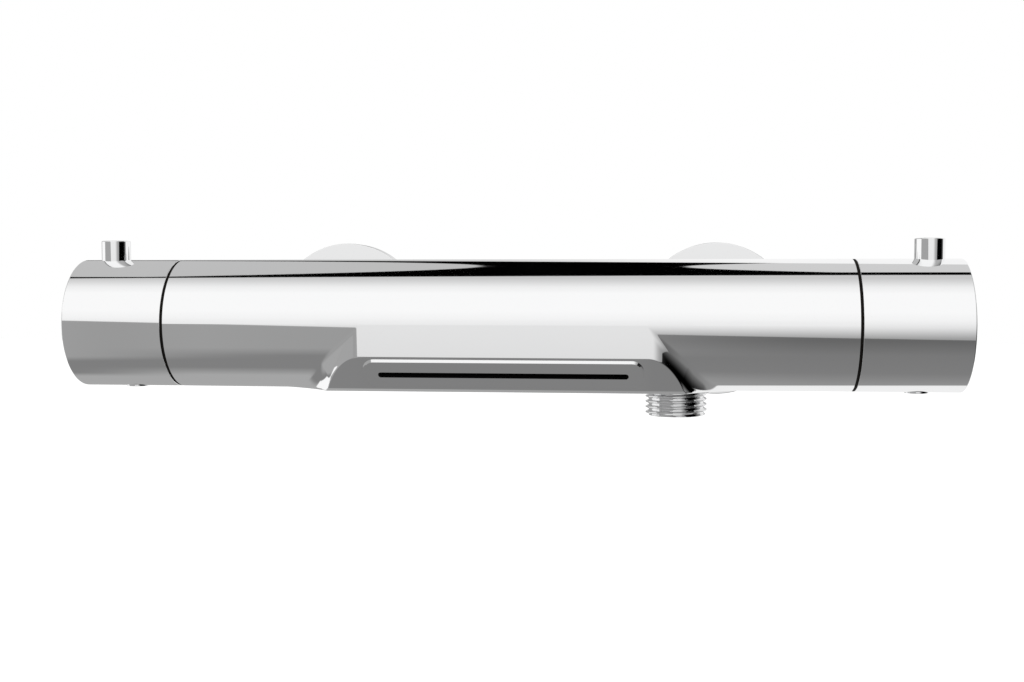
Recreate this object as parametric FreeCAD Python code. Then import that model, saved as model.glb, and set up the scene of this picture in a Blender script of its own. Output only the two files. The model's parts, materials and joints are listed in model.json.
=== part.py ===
import FreeCAD, Part
import math
import os

V = FreeCAD.Vector

# Thermostatic bath mixer for a wall: a chromed tube with a handle at each end and a waterfall spout.
# Millimetres. Every piece is modelled about the tube's axis, with X along it, Y towards the wall and
# Z up. Saving moves the pieces, so that the origin is on the wall, midway between the wall threads.

# Body tube
BODY_R = 22.5
BODY_LENGTH = 233.0
AXIS_OUT = 82.0
INLET_SPACING = 150.0

# Spout: a chin with round corners under the tube's front, blended into it, with a sloping outlet face
SPOUT_WIDTH = 96.6
SPOUT_CORNER_R = 14.8
SPOUT_CORNER_TURN = 52.0
SPOUT_EDGE = 1.5
SPOUT_BLEND = 7.0
SPOUT_DROP = 0.5
SKIN_COLUMNS = 233
SKIN_ROWS = 36
SKIN_HALVINGS = 40
SPOUT_APRON = 10.7
SPOUT_LIP_OUT = 15.8
INSERT_WIDTH = 94.4
INSERT_HEIGHT = 11.0
INSERT_CORNER_R = 4.0
INSERT_MARGIN = 0.7
INSERT_PROUD = 1.4
INSERT_BEVEL = 0.7
INSERT_RUN = 4.5
INSERT_SEAT = 3.0
INSERT_CLEAR = 0.1
GASKET_T = 1.0
SLEEVE_T = 0.25
SLEEVE_SHY = 0.3
SLOT_WIDTH = 84.4
SLOT_HEIGHT = 2.5
SLOT_DROP = 1.0
PLENUM_HEIGHT = 5.0
PLENUM_END = 40.0

# Bores and galleries of the body
CARTRIDGE_BORE_R = 16.0
COUNTERBORE_R = 18.0
COUNTERBORE_DEPTH = 7.0
THERMOSTAT_DEPTH = 74.0
DIVERTER_DEPTH = 32.0
MIX_BORE_R = 5.0
GALLERY_R = 3.0
GALLERY_OUT = 9.5
SHOWER_GALLERY_ANGLE = 300.0
COLD_GALLERY_R = 2.5
COLD_GALLERY_WEB = 0.5

# Inlets, from the body to the wall
BOSS_R = 14.0
BOSS_OUT = 25.5
INLET_BORE_R = 6.0
INLET_BORE_END = 10.0
NIPPLE_SHANK_R = 10.0
NIPPLE_SHANK = 8.5
NIPPLE_HEX = 24.0
NIPPLE_HEX_T = 3.5
NIPPLE_TUBE_R = 9.5
NIPPLE_TUBE = 14.0
NIPPLE_COLLAR_R = 12.6
NIPPLE_COLLAR_T = 3.0
NIPPLE_BORE_R = 7.6
NIPPLE_MOUTH_R = 5.5
NIPPLE_MOUTH = 5.0
FILTER_T = 2.2
FILTER_BORE_R = 7.5
FILTER_MESH_T = 0.5
UNION_THREAD_R = 13.22
UNION_NUT_HEX = 30.0
UNION_NUT_BACK = 4.5
UNION_NUT_GRIP = 10.0
CONNECTOR_OFFSET = 8.0
CONNECTOR_BORE_R = 7.0
CONNECTOR_WEB_T = 3.0
CONNECTOR_NECK = 2.0
CONNECTOR_NECK_R = 11.5
WALL_THREAD_R = 10.4775
WALL_THREAD = 15.0
WALL_BORE_R = 6.0
ROSETTE_R = 30.3
ROSETTE_DEPTH = 8.0
ROSETTE_WALL = 1.6
ROSETTE_EDGE_R = 0.8

# Check valve in each inlet
VALVE_LENGTH = 18.0
VALVE_WALL = 1.8
VALVE_SEAT_R = 3.8
VALVE_SEAT_T = 2.0
VALVE_SPIDER_T = 2.0
VALVE_WINDOWS = 3
VALVE_WINDOW_ARC = 80.0
POPPET_R = 4.9
POPPET_T = 2.0
POPPET_STEM_R = 1.5
POPPET_TRAVEL = 2.5
VALVE_HUB_R = 2.6

# Hose outlet
HOSE_X = 58.1
HOSE_THREAD_R = 10.4775
HOSE_THREAD = 8.2
HOSE_CHAMFER = 0.8
HOSE_BOSS_R = 12.5
HOSE_BOSS_DROP = 0.3
HOSE_SHANK_R = 8.6
HOSE_SHANK = 8.0
HOSE_BORE_R = 6.5
HOSE_DUCT_R = 4.5
HOSE_DUCT_TOP = 9.0

# Handles
HANDLE_LENGTH = 35.2
HANDLE_GAP = 1.0
HANDLE_BORE_R = 19.0
HANDLE_END_T = 4.0
HANDLE_EDGE_R = 0.8
LEVER_OUT = 25.7
LEVER_R = 5.0
LEVER_RISE = 6.8
LEVER_EDGE = 0.4
LEVER_STUD_R = 3.0
LEVER_STUD = 9.0
SAFETY_BUTTON_OUT = 18.1
ECO_BUTTON_OUT = 22.0
BUTTON_R = 4.0
BUTTON_PROUD = 0.5
BUTTON_EDGE = 0.3
BUTTON_FLANGE_R = 4.8
BUTTON_FLANGE_T = 1.4
BUTTON_SPRING = 4.8
GLIDE_RING_T = 0.9
GLIDE_RING_SHY = 0.1
GLIDE_SPIGOT = 3.4
GLIDE_SPIGOT_WALL = 1.9

# Cartridge necks, spindles and the inserts that the handles turn with
FLANGE_T = 3.0
NECK_R = 11.0
NECK_OUT = 12.0
SPINDLE_R = 6.0
SPINDLE_SHOULDER = 12.0
SPLINE_R = 5.0
SPLINE_DEPTH = 0.6
SPLINE_TEETH = 14
SPLINE_LENGTH = 12.0
SPLINE_CLEAR = 0.1
INSERT_HUB_OUT = 13.5
INSERT_HUB_LENGTH = 16.0
FINGER_INNER_R = 14.4
FINGER_OUTER_R = 16.2
FINGER_REACH = 9.0
FINGER_ARC = 20.0
STOP_RING_OUT = 1.4
STOP_RING_T = 4.0
STOP_RING_R = 13.8
STOP_LUG_R = 16.0
STOP_MARGIN = 2.5
SCREW_R = 1.9
SCREW_LENGTH = 10.0
SCREW_HEAD_R = 3.8
SCREW_HEAD_T = 2.4
SCREW_SOCKET_R = 1.6
NUT_SLOT_W = 4.0
NUT_SLOT_DEPTH = 1.5
NUT_SLOTS = 4
O_RING_R = 0.9
O_RING_GROOVE_W = 2.2

# Thermostatic cartridge, as distances inwards from the body's end
CHAMBER_R = 12.0
NOSE_R = 13.6
NOSE_LENGTH = 12.0
THERMOSTAT_RING_OUTER = 11.0
THERMOSTAT_RING_MIDDLE = 32.0
THERMOSTAT_RING_INNER = 54.0
HOT_WINDOW_W = 4.0
COLD_WINDOW_IN = 66.5
COLD_WINDOW_W = 5.0
WINDOW_ARC = 50.0
WINDOWS = 4
COLLAR_R = 9.0
COLLAR_T = 4.0
COLLAR_PLAY = 1.0
DRIVE_STUD_R = 4.0
DRIVE_STUD = 11.0
CAPSULE_IN = 21.0
CAPSULE_LENGTH = 16.0
CAPSULE_TOP = 6.0
CAPSULE_BORE_R = 9.5
OVERLOAD_WALL = 1.4
ELEMENT_FLANGE_T = 2.9
ELEMENT_R = 5.0
ELEMENT_LENGTH = 23.0
BULB_R = 4.0
BULB_LENGTH = 9.0
ELEMENT_PIN_R = 1.5
ELEMENT_PIN = 3.0
SPOOL_IN = 45.0
SPOOL_LENGTH = 17.0
SPOOL_WALL = 1.5
SPOOL_HUB_R = 7.0
SPOOL_WEB_T = 3.0
SPOOL_WEB_IN = 6.0
SPOOL_WINDOWS = 4
SPOOL_WINDOW_ARC = 64.0
SPRING_SEAT_T = 3.0
SPRING_SEAT_BORE_R = 6.5
RETURN_SPRING_R = 9.8
RETURN_SPRING_WALL = 1.2

# Diverter cartridge, as distances inwards from the body's end
DISC_CHAMBER_R = 13.0
CARRIER_T = 3.8
CARRIER_PLAY = 0.2
DISC_T = 3.5
FIXED_DISC_T = 4.0
DISC_GAP = 0.05
DISC_CLEAR = 0.3
SEAL_T = 3.0
BASE_T = 3.5
DIVERTER_RING_OUTER = 10.5
DIVERTER_RING_INNER = 24.0
PORT_R = 3.0
KIDNEY_INNER_R = 6.2
KIDNEY_OUTER_R = 10.8
BATH_PORT = (170.0, 230.0)
SHOWER_PORT = (290.0, 350.0)
DISC_SLOT_ARC = 36.0
DISC_SLOT_ANGLE = 260.0
DISC_SLOT_DEPTH = 2.0

# Fits
RUN = 0.06
FIT = 0.1
LOOSE = 0.2

# Turning ranges of the handles, in degrees about +X from the rest pose, with the levers up
TEMPERATURE_RANGE = (-150.0, 75.0)
FLOW_RANGE = (-90.0, 90.0)
LEVER_ANGLE = 90.0

FULL_TURN = 360.0
QUARTER_TURN = FULL_TURN / 4
TEMPERATURE_SIDE = -1
FLOW_SIDE = 1
BODY_END = BODY_LENGTH / 2
INLET_X = INLET_SPACING / 2
THERMOSTAT_RINGS = (THERMOSTAT_RING_OUTER, THERMOSTAT_RING_MIDDLE, THERMOSTAT_RING_INNER)
DIVERTER_RINGS = (DIVERTER_RING_OUTER, DIVERTER_RING_INNER)


# Shapes

def band(start, end, outer, inner=0.0):
    return [(start, inner), (end, inner), (end, outer), (start, outer)]


def stepped(steps):
    """Half outline of a stepped shaft: steps are (start, end, radius), end to end."""
    points = [(steps[0][0], 0.0)]
    for start, end, radius in steps:
        points += [(start, radius), (end, radius)]
    return points + [(steps[-1][1], 0.0)]


def turned(points, centre, direction, start=0.0, sweep=FULL_TURN):
    outline = Part.makePolygon(points + points[:1])
    shape = Part.Face(outline).revolve(centre, direction, sweep)
    if start:
        shape.rotate(centre, direction, start)
    return shape


def turn_x(profile, start=0.0, sweep=FULL_TURN):
    """Turned about the tube's axis. Angles run from +Y, the wall side, towards +Z."""
    return turned([V(x, r, 0) for x, r in profile], V(0, 0, 0), V(1, 0, 0), start, sweep)


def turn_side(side, profile, start=0.0, sweep=FULL_TURN):
    """Turned about the tube's axis, with lengths measured outwards from the body's end on one side."""
    return turn_x([(side * (BODY_END + out), r) for out, r in profile], start, sweep)


def turn_y(x, profile, z=0.0):
    return turned([V(x + r, y, z) for y, r in profile], V(x, 0, z), V(0, 1, 0))


def turn_z(x, profile):
    return turned([V(x + r, 0, z) for z, r in profile], V(x, 0, 0), V(0, 0, 1))


def hexagon_y(x, start, end, flats):
    corner = flats / math.sqrt(3)
    angles = [math.radians(60 * i + 30) for i in range(7)]
    outline = Part.makePolygon([V(x + corner * math.cos(a), start, corner * math.sin(a)) for a in angles])
    return Part.Face(outline).extrude(V(0, end - start, 0))


def spline_bar(side, start, end, tip, root):
    """Toothed bar along the tube's axis, for a spline and for the hole that takes it."""
    points = []
    for i in range(2 * SPLINE_TEETH + 1):
        angle = math.pi * i / SPLINE_TEETH
        radius = root if i % 2 else tip
        points.append(V(side * (BODY_END + start), radius * math.cos(angle), radius * math.sin(angle)))
    return Part.Face(Part.makePolygon(points)).extrude(V(side * (end - start), 0, 0))


def polar_sectors(side, start, end, inner, outer, count, arc):
    step = FULL_TURN / count
    profile = band(start, end, outer, inner)
    return [turn_side(side, profile, step * i + (step - arc) / 2, arc) for i in range(count)]


def polar_point(radius, angle):
    return radius * math.cos(math.radians(angle)), radius * math.sin(math.radians(angle))


def drilled(x0, x1, radius, out, angle):
    """Hole parallel to the tube's axis."""
    y, z = polar_point(out, angle)
    return Part.makeCylinder(radius, x1 - x0, V(x0, y, z), V(1, 0, 0))


def o_rings(side, depths, bore_r):
    rings = []
    for depth in depths:
        centre = V(side * (BODY_END - depth), 0, 0)
        rings.append(Part.makeTorus(bore_r - FIT / 2 - O_RING_R, O_RING_R, centre, V(1, 0, 0)))
    return Part.makeCompound(rings)


def o_ring_grooves(side, depths, bore_r):
    floor = bore_r - FIT - 2 * O_RING_R
    half = O_RING_GROOVE_W / 2
    return [turn_side(side, band(-d - half, -d + half, bore_r, floor)) for d in depths]


# Spout frame: the sloping outlet face, from its top edge down

FACE_TOP = V(0, -BODY_R, -SPOUT_APRON)
FACE_BOTTOM = V(0, -SPOUT_LIP_OUT, -BODY_R)
FACE_DOWN = (FACE_BOTTOM - FACE_TOP).normalize()
FACE_OUT = V(0, FACE_DOWN.z, -FACE_DOWN.y)
COLD_GALLERY_OUT = BOSS_OUT - NIPPLE_SHANK - COLD_GALLERY_WEB - COLD_GALLERY_R
INSERT_MIDDLE = INSERT_MARGIN + INSERT_HEIGHT / 2
FACE_FROM_AXIS = FACE_TOP.dot(FACE_OUT)
POCKET_DEPTH = INSERT_SEAT + GASKET_T


def on_face(down, out):
    """Point in the middle plane, by its place on the outlet face and its height over the face."""
    return FACE_TOP + FACE_DOWN * down + FACE_OUT * out


def face_slab(width, height, corner_r, depth, proud, drop=0.0):
    """Round-cornered slab square to the outlet face, from depth below it to proud of it."""
    middle = on_face(INSERT_MIDDLE + drop, -depth)
    half_w = width / 2
    half_h = height / 2

    def at(x, down):
        return middle + V(x, 0, 0) + FACE_DOWN * down

    edges = []
    previous = None
    for sign_x, sign_d in ((1, 1), (-1, 1), (-1, -1), (1, -1)):
        cx = sign_x * (half_w - corner_r)
        cd = sign_d * (half_h - corner_r)
        reach = corner_r * math.sqrt(0.5)
        along_x = at(cx + sign_x * corner_r, cd)
        along_d = at(cx, cd + sign_d * corner_r)
        first, last = (along_x, along_d) if sign_x == sign_d else (along_d, along_x)
        arc = Part.Arc(first, at(cx + sign_x * reach, cd + sign_d * reach), last)
        if previous is not None and previous.distanceToPoint(first) > 1e-6:
            edges.append(Part.LineSegment(previous, first).toShape())
        edges.append(arc.toShape())
        previous = last
    start = edges[0].Vertexes[0].Point
    edges.append(Part.LineSegment(previous, start).toShape())
    outline = Part.Wire(Part.__sortEdges__(edges))
    return Part.Face(outline).extrude(FACE_OUT * (depth + proud))


# Body

def from_skin(x, front, down):
    """Distance from the skin of the tube with the chin blended into it, below 0 inside the body."""
    out = math.hypot(front, down)
    tube = out - BODY_R
    aside = abs(x) - SPOUT_WIDTH / 2
    ahead = front - BODY_R + SPOUT_CORNER_R
    turn = min(max(math.atan2(aside, ahead), 0), math.radians(SPOUT_CORNER_TURN))
    facing = math.cos(turn)
    side = aside * math.sin(turn) + ahead * facing - SPOUT_CORNER_R
    least = FIT / BODY_R
    blend = SPOUT_BLEND * max(1 - front * facing / out, least)
    side_share = min(max((1 + (tube - side) / blend) / 2, 0), 1)
    skin = tube + (side - tube) * side_share - blend * side_share * (1 - side_share)
    under = down - BODY_R - SPOUT_DROP * front / BODY_R
    edge = SPOUT_EDGE * max(1 - (1 - side_share) * down / out, least)
    return max(skin, under) + max(edge - abs(skin - under), 0) ** 2 / (4 * edge)


def skin_height(x, across):
    """How far the skin is from the axis, seen square to the chord of the body's lower front quarter."""
    low = BODY_R / math.sqrt(2)
    high = 2 * low
    if abs(across) > low - FIT ** 2:
        return low
    for _ in range(SKIN_HALVINGS):
        middle = (low + high) / 2
        if from_skin(x, (middle + across) / math.sqrt(2), (middle - across) / math.sqrt(2)) < 0:
            low = middle
        else:
            high = middle
    return low


def chin_skin():
    """Skin of the lower front quarter, between straight down and straight ahead, with the spout's chin."""
    step_x = BODY_LENGTH / SKIN_COLUMNS
    chord = BODY_R * math.sqrt(2)
    step_c = chord / SKIN_ROWS
    heights = [[skin_height(i * step_x - BODY_END, j * step_c - chord / 2) for j in range(SKIN_ROWS + 1)]
               for i in range(SKIN_COLUMNS + 1)]
    surface = Part.BSplineSurface()
    surface.interpolate(heights, -BODY_END, step_x, -chord / 2, step_c)
    skin = surface.toShape()
    skin.rotate(V(0, 0, 0), V(1, 0, 0), 3 * QUARTER_TURN / 2)
    return skin


def outer_form():
    """The tube with its chin, closed from the chin's skin, the plain rest of the tube and two flat ends."""
    rest = turn_x(band(-BODY_END, BODY_END, BODY_R), -QUARTER_TURN, 3 * QUARTER_TURN)
    faces = [chin_skin()] + [f for f in rest.Faces if isinstance(f.Surface, Part.Cylinder)]
    for x in (-BODY_END, BODY_END):
        rim = [e for f in faces[:2] for e in f.Edges if all(abs(v.X - x) < FIT for v in e.Vertexes)]
        faces.append(Part.Face(Part.Wire(Part.__sortEdges__(rim))))
    shell = Part.makeShell(faces)
    shell.sewShape()
    return Part.Solid(shell)


def outlet_cut():
    past = BODY_R
    top = FACE_TOP - FACE_DOWN * past
    bottom = FACE_BOTTOM + FACE_DOWN * past
    corners = [top, bottom, bottom + FACE_OUT * past, top + FACE_OUT * past, top]
    side = V(-SPOUT_WIDTH / 2 - SPOUT_CORNER_R - SPOUT_BLEND, 0, 0)
    return Part.Face(Part.makePolygon([c + side for c in corners])).extrude(side * -2)


def mixer_body():
    body = outer_form().cut(outlet_cut())
    bosses = [turn_y(s * INLET_X, band(0, BOSS_OUT, BOSS_R)) for s in (-1, 1)]
    bosses.append(turn_z(HOSE_X, band(-BODY_R - HOSE_BOSS_DROP, -BODY_R / 2, HOSE_BOSS_R)))
    body = body.fuse(bosses)
    cuts = [face_slab(INSERT_WIDTH + 2 * INSERT_CLEAR, INSERT_HEIGHT + 2 * INSERT_CLEAR,
                      INSERT_CORNER_R + INSERT_CLEAR, POCKET_DEPTH, INSERT_PROUD)]
    plenum_depth = FACE_FROM_AXIS - GALLERY_OUT
    cuts.append(face_slab(2 * PLENUM_END, PLENUM_HEIGHT, PLENUM_HEIGHT / 2 - FIT, plenum_depth, 0))
    diverter_floor = BODY_END - DIVERTER_DEPTH
    thermostat_floor = BODY_END - THERMOSTAT_DEPTH
    for side, depth in ((TEMPERATURE_SIDE, THERMOSTAT_DEPTH), (FLOW_SIDE, DIVERTER_DEPTH)):
        steps = [(-depth, -COUNTERBORE_DEPTH, CARTRIDGE_BORE_R), (-COUNTERBORE_DEPTH, LOOSE, COUNTERBORE_R)]
        cuts.append(turn_side(side, stepped(steps)))
    cuts.append(turn_x(band(-thermostat_floor - FIT, diverter_floor + FIT, MIX_BORE_R)))
    bath_angle = math.degrees(math.atan2(FACE_OUT.z, FACE_OUT.y))
    cuts.append(drilled(-PLENUM_END, diverter_floor + FIT, GALLERY_R, GALLERY_OUT, bath_angle))
    cuts.append(drilled(HOSE_X, diverter_floor + FIT, GALLERY_R, GALLERY_OUT, SHOWER_GALLERY_ANGLE))
    cuts.append(drilled(-thermostat_floor - FIT, INLET_X, COLD_GALLERY_R, COLD_GALLERY_OUT, 0.0))
    for side in (-1, 1):
        seat = BOSS_OUT - NIPPLE_SHANK
        cuts.append(turn_y(side * INLET_X, stepped([
            (INLET_BORE_END, seat, INLET_BORE_R), (seat, BOSS_OUT + FIT, NIPPLE_SHANK_R + FIT)])))
    hose_face = -BODY_R - HOSE_BOSS_DROP
    hose_seat = hose_face + HOSE_SHANK
    cuts.append(turn_z(HOSE_X, stepped([
        (hose_face - FIT, hose_seat, HOSE_SHANK_R + FIT), (hose_seat, -HOSE_DUCT_TOP, HOSE_DUCT_R)])))
    return body.cut(cuts)


# Spout pieces

def waterfall_insert():
    """Plate that stands proud along its bevelled top edge and runs out flush with the face below it."""
    plate = face_slab(INSERT_WIDTH, INSERT_HEIGHT, INSERT_CORNER_R, INSERT_SEAT, INSERT_PROUD)
    foot = INSERT_MARGIN + INSERT_HEIGHT + FIT
    clear = INSERT_PROUD + FIT
    slope = [on_face(INSERT_MARGIN, INSERT_PROUD), on_face(INSERT_MARGIN + INSERT_RUN, 0), on_face(foot, 0),
             on_face(foot, clear), on_face(INSERT_MARGIN, clear)]
    bevel = [on_face(INSERT_MARGIN - FIT, INSERT_PROUD - INSERT_BEVEL - FIT),
             on_face(INSERT_MARGIN + INSERT_BEVEL + FIT, clear), on_face(INSERT_MARGIN - FIT, clear)]
    side = V(-INSERT_WIDTH / 2 - FIT, 0, 0)
    cuts = [face_slab(SLOT_WIDTH, SLOT_HEIGHT, SLOT_HEIGHT / 2 - FIT, INSERT_SEAT + FIT, clear, SLOT_DROP)]
    for corners in (slope, bevel):
        outline = Part.makePolygon([c + side for c in corners + corners[:1]])
        cuts.append(Part.Face(outline).extrude(side * -2))
    return plate.cut(cuts)


def waterfall_gasket():
    """Sheet behind the plate, with a sleeve that lines the plate's slot."""
    sheet = face_slab(INSERT_WIDTH, INSERT_HEIGHT, INSERT_CORNER_R, POCKET_DEPTH, -INSERT_SEAT)
    width = SLOT_WIDTH - 2 * RUN
    height = SLOT_HEIGHT - 2 * RUN
    sleeve = face_slab(width, height, height / 2 - FIT, POCKET_DEPTH, -SLEEVE_SHY, SLOT_DROP)
    width -= 2 * SLEEVE_T
    height -= 2 * SLEEVE_T
    opening = face_slab(width, height, height / 2 - FIT, POCKET_DEPTH + FIT, FIT, SLOT_DROP)
    return sheet.fuse(sleeve).cut(opening)


def hose_nipple():
    face = -BODY_R - HOSE_BOSS_DROP
    bottom = face - HOSE_THREAD
    outer = [(bottom, 0), (bottom, HOSE_THREAD_R - HOSE_CHAMFER), (bottom + HOSE_CHAMFER, HOSE_THREAD_R),
             (face, HOSE_THREAD_R), (face, HOSE_SHANK_R), (face + HOSE_SHANK, HOSE_SHANK_R),
             (face + HOSE_SHANK, 0)]
    groove = band(face, face + O_RING_GROOVE_W, HOSE_SHANK_R, HOSE_SHANK_R - O_RING_R)
    bore = stepped([(bottom - FIT, face + HOSE_SHANK + FIT, HOSE_BORE_R)])
    return turn_z(HOSE_X, outer).cut([turn_z(HOSE_X, groove), turn_z(HOSE_X, bore)])


def hose_nipple_seal():
    middle = -BODY_R - HOSE_BOSS_DROP + O_RING_GROOVE_W / 2
    minor = O_RING_R / 2
    return Part.makeTorus(HOSE_SHANK_R - minor, minor, V(HOSE_X, 0, middle), V(0, 0, 1))


# Inlets

NIPPLE_INNER = BOSS_OUT - NIPPLE_SHANK
NIPPLE_HEX_END = BOSS_OUT + NIPPLE_HEX_T
NIPPLE_TUBE_END = NIPPLE_HEX_END + NIPPLE_TUBE
NIPPLE_END = NIPPLE_TUBE_END + NIPPLE_COLLAR_T
UNION_START = NIPPLE_END + FILTER_T
UNION_END = AXIS_OUT - CONNECTOR_NECK
ROSETTE_FRONT = AXIS_OUT - ROSETTE_DEPTH


def inlet_nipple(x):
    outer = stepped([(NIPPLE_INNER, BOSS_OUT, NIPPLE_SHANK_R), (BOSS_OUT, NIPPLE_TUBE_END, NIPPLE_TUBE_R),
                     (NIPPLE_TUBE_END, NIPPLE_END, NIPPLE_COLLAR_R)])
    bore = stepped([(NIPPLE_INNER - FIT, NIPPLE_INNER + NIPPLE_MOUTH, NIPPLE_MOUTH_R),
                    (NIPPLE_INNER + NIPPLE_MOUTH, NIPPLE_END + FIT, NIPPLE_BORE_R)])
    groove = band(NIPPLE_INNER, NIPPLE_INNER + O_RING_GROOVE_W, NIPPLE_SHANK_R, NIPPLE_SHANK_R - O_RING_R)
    hexagon = hexagon_y(x, BOSS_OUT, NIPPLE_HEX_END, NIPPLE_HEX)
    return turn_y(x, outer).fuse(hexagon).cut([turn_y(x, bore), turn_y(x, groove)])


def inlet_seal(x):
    minor = O_RING_R / 2
    middle = V(x, NIPPLE_INNER + O_RING_GROOVE_W / 2, 0)
    return Part.makeTorus(NIPPLE_SHANK_R - minor, minor, middle, V(0, 1, 0))


def union_nut(x):
    start = NIPPLE_TUBE_END - UNION_NUT_BACK
    end = UNION_START + UNION_NUT_GRIP
    bore = stepped([(start - FIT, NIPPLE_TUBE_END, NIPPLE_TUBE_R + LOOSE),
                    (NIPPLE_TUBE_END, end + FIT, UNION_THREAD_R + FIT)])
    corner = UNION_NUT_HEX / math.sqrt(3)
    ease = corner - UNION_NUT_HEX / 2
    rounded = [(start, 0), (start, corner - ease / 2), (start + ease / 2, corner),
               (end - ease / 2, corner), (end, corner - ease / 2), (end, 0)]
    return hexagon_y(x, start, end, UNION_NUT_HEX).common(turn_y(x, rounded)).cut(turn_y(x, bore))


def filter_washer(x):
    ring = turn_y(x, band(NIPPLE_END, UNION_START, NIPPLE_COLLAR_R, FILTER_BORE_R))
    mesh = turn_y(x, band(UNION_START - FILTER_MESH_T, UNION_START, FILTER_BORE_R))
    return ring.fuse(mesh).removeSplitter()


def s_connector(x):
    big = turn_y(x, band(UNION_START, UNION_END, UNION_THREAD_R))
    low = -CONNECTOR_OFFSET
    web_start = UNION_END - CONNECTOR_WEB_T
    web = turn_y(x, band(web_start, UNION_END, CONNECTOR_NECK_R), low)
    neck = turn_y(x, band(UNION_END, AXIS_OUT, CONNECTOR_NECK_R), low)
    stud = turn_y(x, band(AXIS_OUT, AXIS_OUT + WALL_THREAD, WALL_THREAD_R), low)
    big_bore = turn_y(x, band(UNION_START - FIT, UNION_END - CONNECTOR_WEB_T / 2, CONNECTOR_BORE_R))
    wall_bore = turn_y(x, band(web_start, AXIS_OUT + WALL_THREAD + FIT, WALL_BORE_R), low)
    return big.fuse([web, neck, stud]).cut([big_bore, wall_bore])


def rosette(x):
    edge = ROSETTE_EDGE_R
    diagonal = edge * (1 - math.sqrt(0.5))
    front = ROSETTE_FRONT
    outer = Part.Wire([
        Part.LineSegment(V(x, AXIS_OUT, 0), V(x + ROSETTE_R, AXIS_OUT, 0)).toShape(),
        Part.LineSegment(V(x + ROSETTE_R, AXIS_OUT, 0), V(x + ROSETTE_R, front + edge, 0)).toShape(),
        Part.Arc(V(x + ROSETTE_R, front + edge, 0), V(x + ROSETTE_R - diagonal, front + diagonal, 0),
                 V(x + ROSETTE_R - edge, front, 0)).toShape(),
        Part.LineSegment(V(x + ROSETTE_R - edge, front, 0), V(x, front, 0)).toShape(),
        Part.LineSegment(V(x, front, 0), V(x, AXIS_OUT, 0)).toShape(),
    ])
    shell = Part.Face(outer).revolve(V(x, 0, 0), V(0, 1, 0), FULL_TURN)
    hollow = turn_y(x, band(front + ROSETTE_WALL, AXIS_OUT + FIT, ROSETTE_R - ROSETTE_WALL))
    hole = turn_y(x, band(front - FIT, AXIS_OUT, UNION_THREAD_R + LOOSE))
    return shell.cut([hollow, hole])


# Check valve in an inlet, which opens away from the wall

VALVE_INNER = NIPPLE_INNER + NIPPLE_MOUTH
VALVE_OUTER = VALVE_INNER + VALVE_LENGTH
VALVE_BORE_R = NIPPLE_BORE_R - FIT - VALVE_WALL
POPPET_FACE = VALVE_OUTER - VALVE_SEAT_T - DISC_GAP
POPPET_BACK = POPPET_FACE - POPPET_T


def check_housing(x):
    body = turn_y(x, band(VALVE_INNER, VALVE_OUTER, NIPPLE_BORE_R - FIT))
    bore = turn_y(x, band(VALVE_INNER + VALVE_SPIDER_T, VALVE_OUTER - VALVE_SEAT_T, VALVE_BORE_R))
    seat = turn_y(x, band(VALVE_OUTER - VALVE_SEAT_T, VALVE_OUTER + FIT, VALVE_SEAT_R))
    guide = turn_y(x, band(VALVE_INNER - FIT, VALVE_INNER + VALVE_SPIDER_T, POPPET_STEM_R + RUN))
    windows = []
    for i in range(VALVE_WINDOWS):
        profile = [V(x + r, y, 0) for y, r in band(
            VALVE_INNER - FIT, VALVE_INNER + VALVE_SPIDER_T, NIPPLE_MOUTH_R - FIT, VALVE_HUB_R)]
        start = FULL_TURN * i / VALVE_WINDOWS
        windows.append(turned(profile, V(x, 0, 0), V(0, 1, 0), start, VALVE_WINDOW_ARC))
    return body.cut([bore, seat, guide] + windows)


def check_poppet(x):
    stem_end = VALVE_INNER - POPPET_TRAVEL / 2
    return turn_y(x, stepped([(stem_end, POPPET_BACK, POPPET_STEM_R), (POPPET_BACK, POPPET_FACE, POPPET_R)]))


def check_spring(x):
    return turn_y(x, band(VALVE_INNER + VALVE_SPIDER_T, POPPET_BACK, VALVE_BORE_R - 2 * LOOSE,
                          POPPET_STEM_R + 2 * LOOSE))


# Pieces that both ends share

def retaining_nut(side):
    ring = turn_side(side, band(FLANGE_T - COUNTERBORE_DEPTH, 0, COUNTERBORE_R - FIT, NECK_R + LOOSE))
    slots = []
    for i in range(NUT_SLOTS):
        slot = Part.makeBox(NUT_SLOT_DEPTH, 2 * COUNTERBORE_R, NUT_SLOT_W)
        slot.translate(V(0, NECK_R + (COUNTERBORE_R - NECK_R) / 2, -NUT_SLOT_W / 2))
        slot.rotate(V(0, 0, 0), V(1, 0, 0), FULL_TURN * i / NUT_SLOTS)
        slot.translate(V(side * BODY_END - (NUT_SLOT_DEPTH if side > 0 else 0), 0, 0))
        slots.append(slot)
    return ring.cut(slots)


def glide_ring(side):
    flange = band(0, GLIDE_RING_T, BODY_R - GLIDE_RING_SHY, COUNTERBORE_R)
    spigot_r = HANDLE_BORE_R - RUN
    spigot = band(0, GLIDE_RING_T + GLIDE_SPIGOT, spigot_r, spigot_r - GLIDE_SPIGOT_WALL)
    return turn_side(side, flange).fuse(turn_side(side, spigot)).removeSplitter()


def stop_ring(side, turn_range):
    """Ring on the cartridge neck, whose lug fills the arc that the handle's finger never enters."""
    end = STOP_RING_OUT + STOP_RING_T
    ring = turn_side(side, band(STOP_RING_OUT, end, STOP_RING_R, NECK_R + FIT))
    keep = FINGER_ARC / 2 + STOP_MARGIN
    start = LEVER_ANGLE + turn_range[1] + keep
    sweep = FULL_TURN - (turn_range[1] - turn_range[0]) - 2 * keep
    lug = turn_side(side, band(STOP_RING_OUT, end, STOP_LUG_R, NECK_R + FIT), start, sweep)
    return ring.fuse(lug).removeSplitter()


def button_axis(side, out):
    return side * (BODY_END + out)


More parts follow.
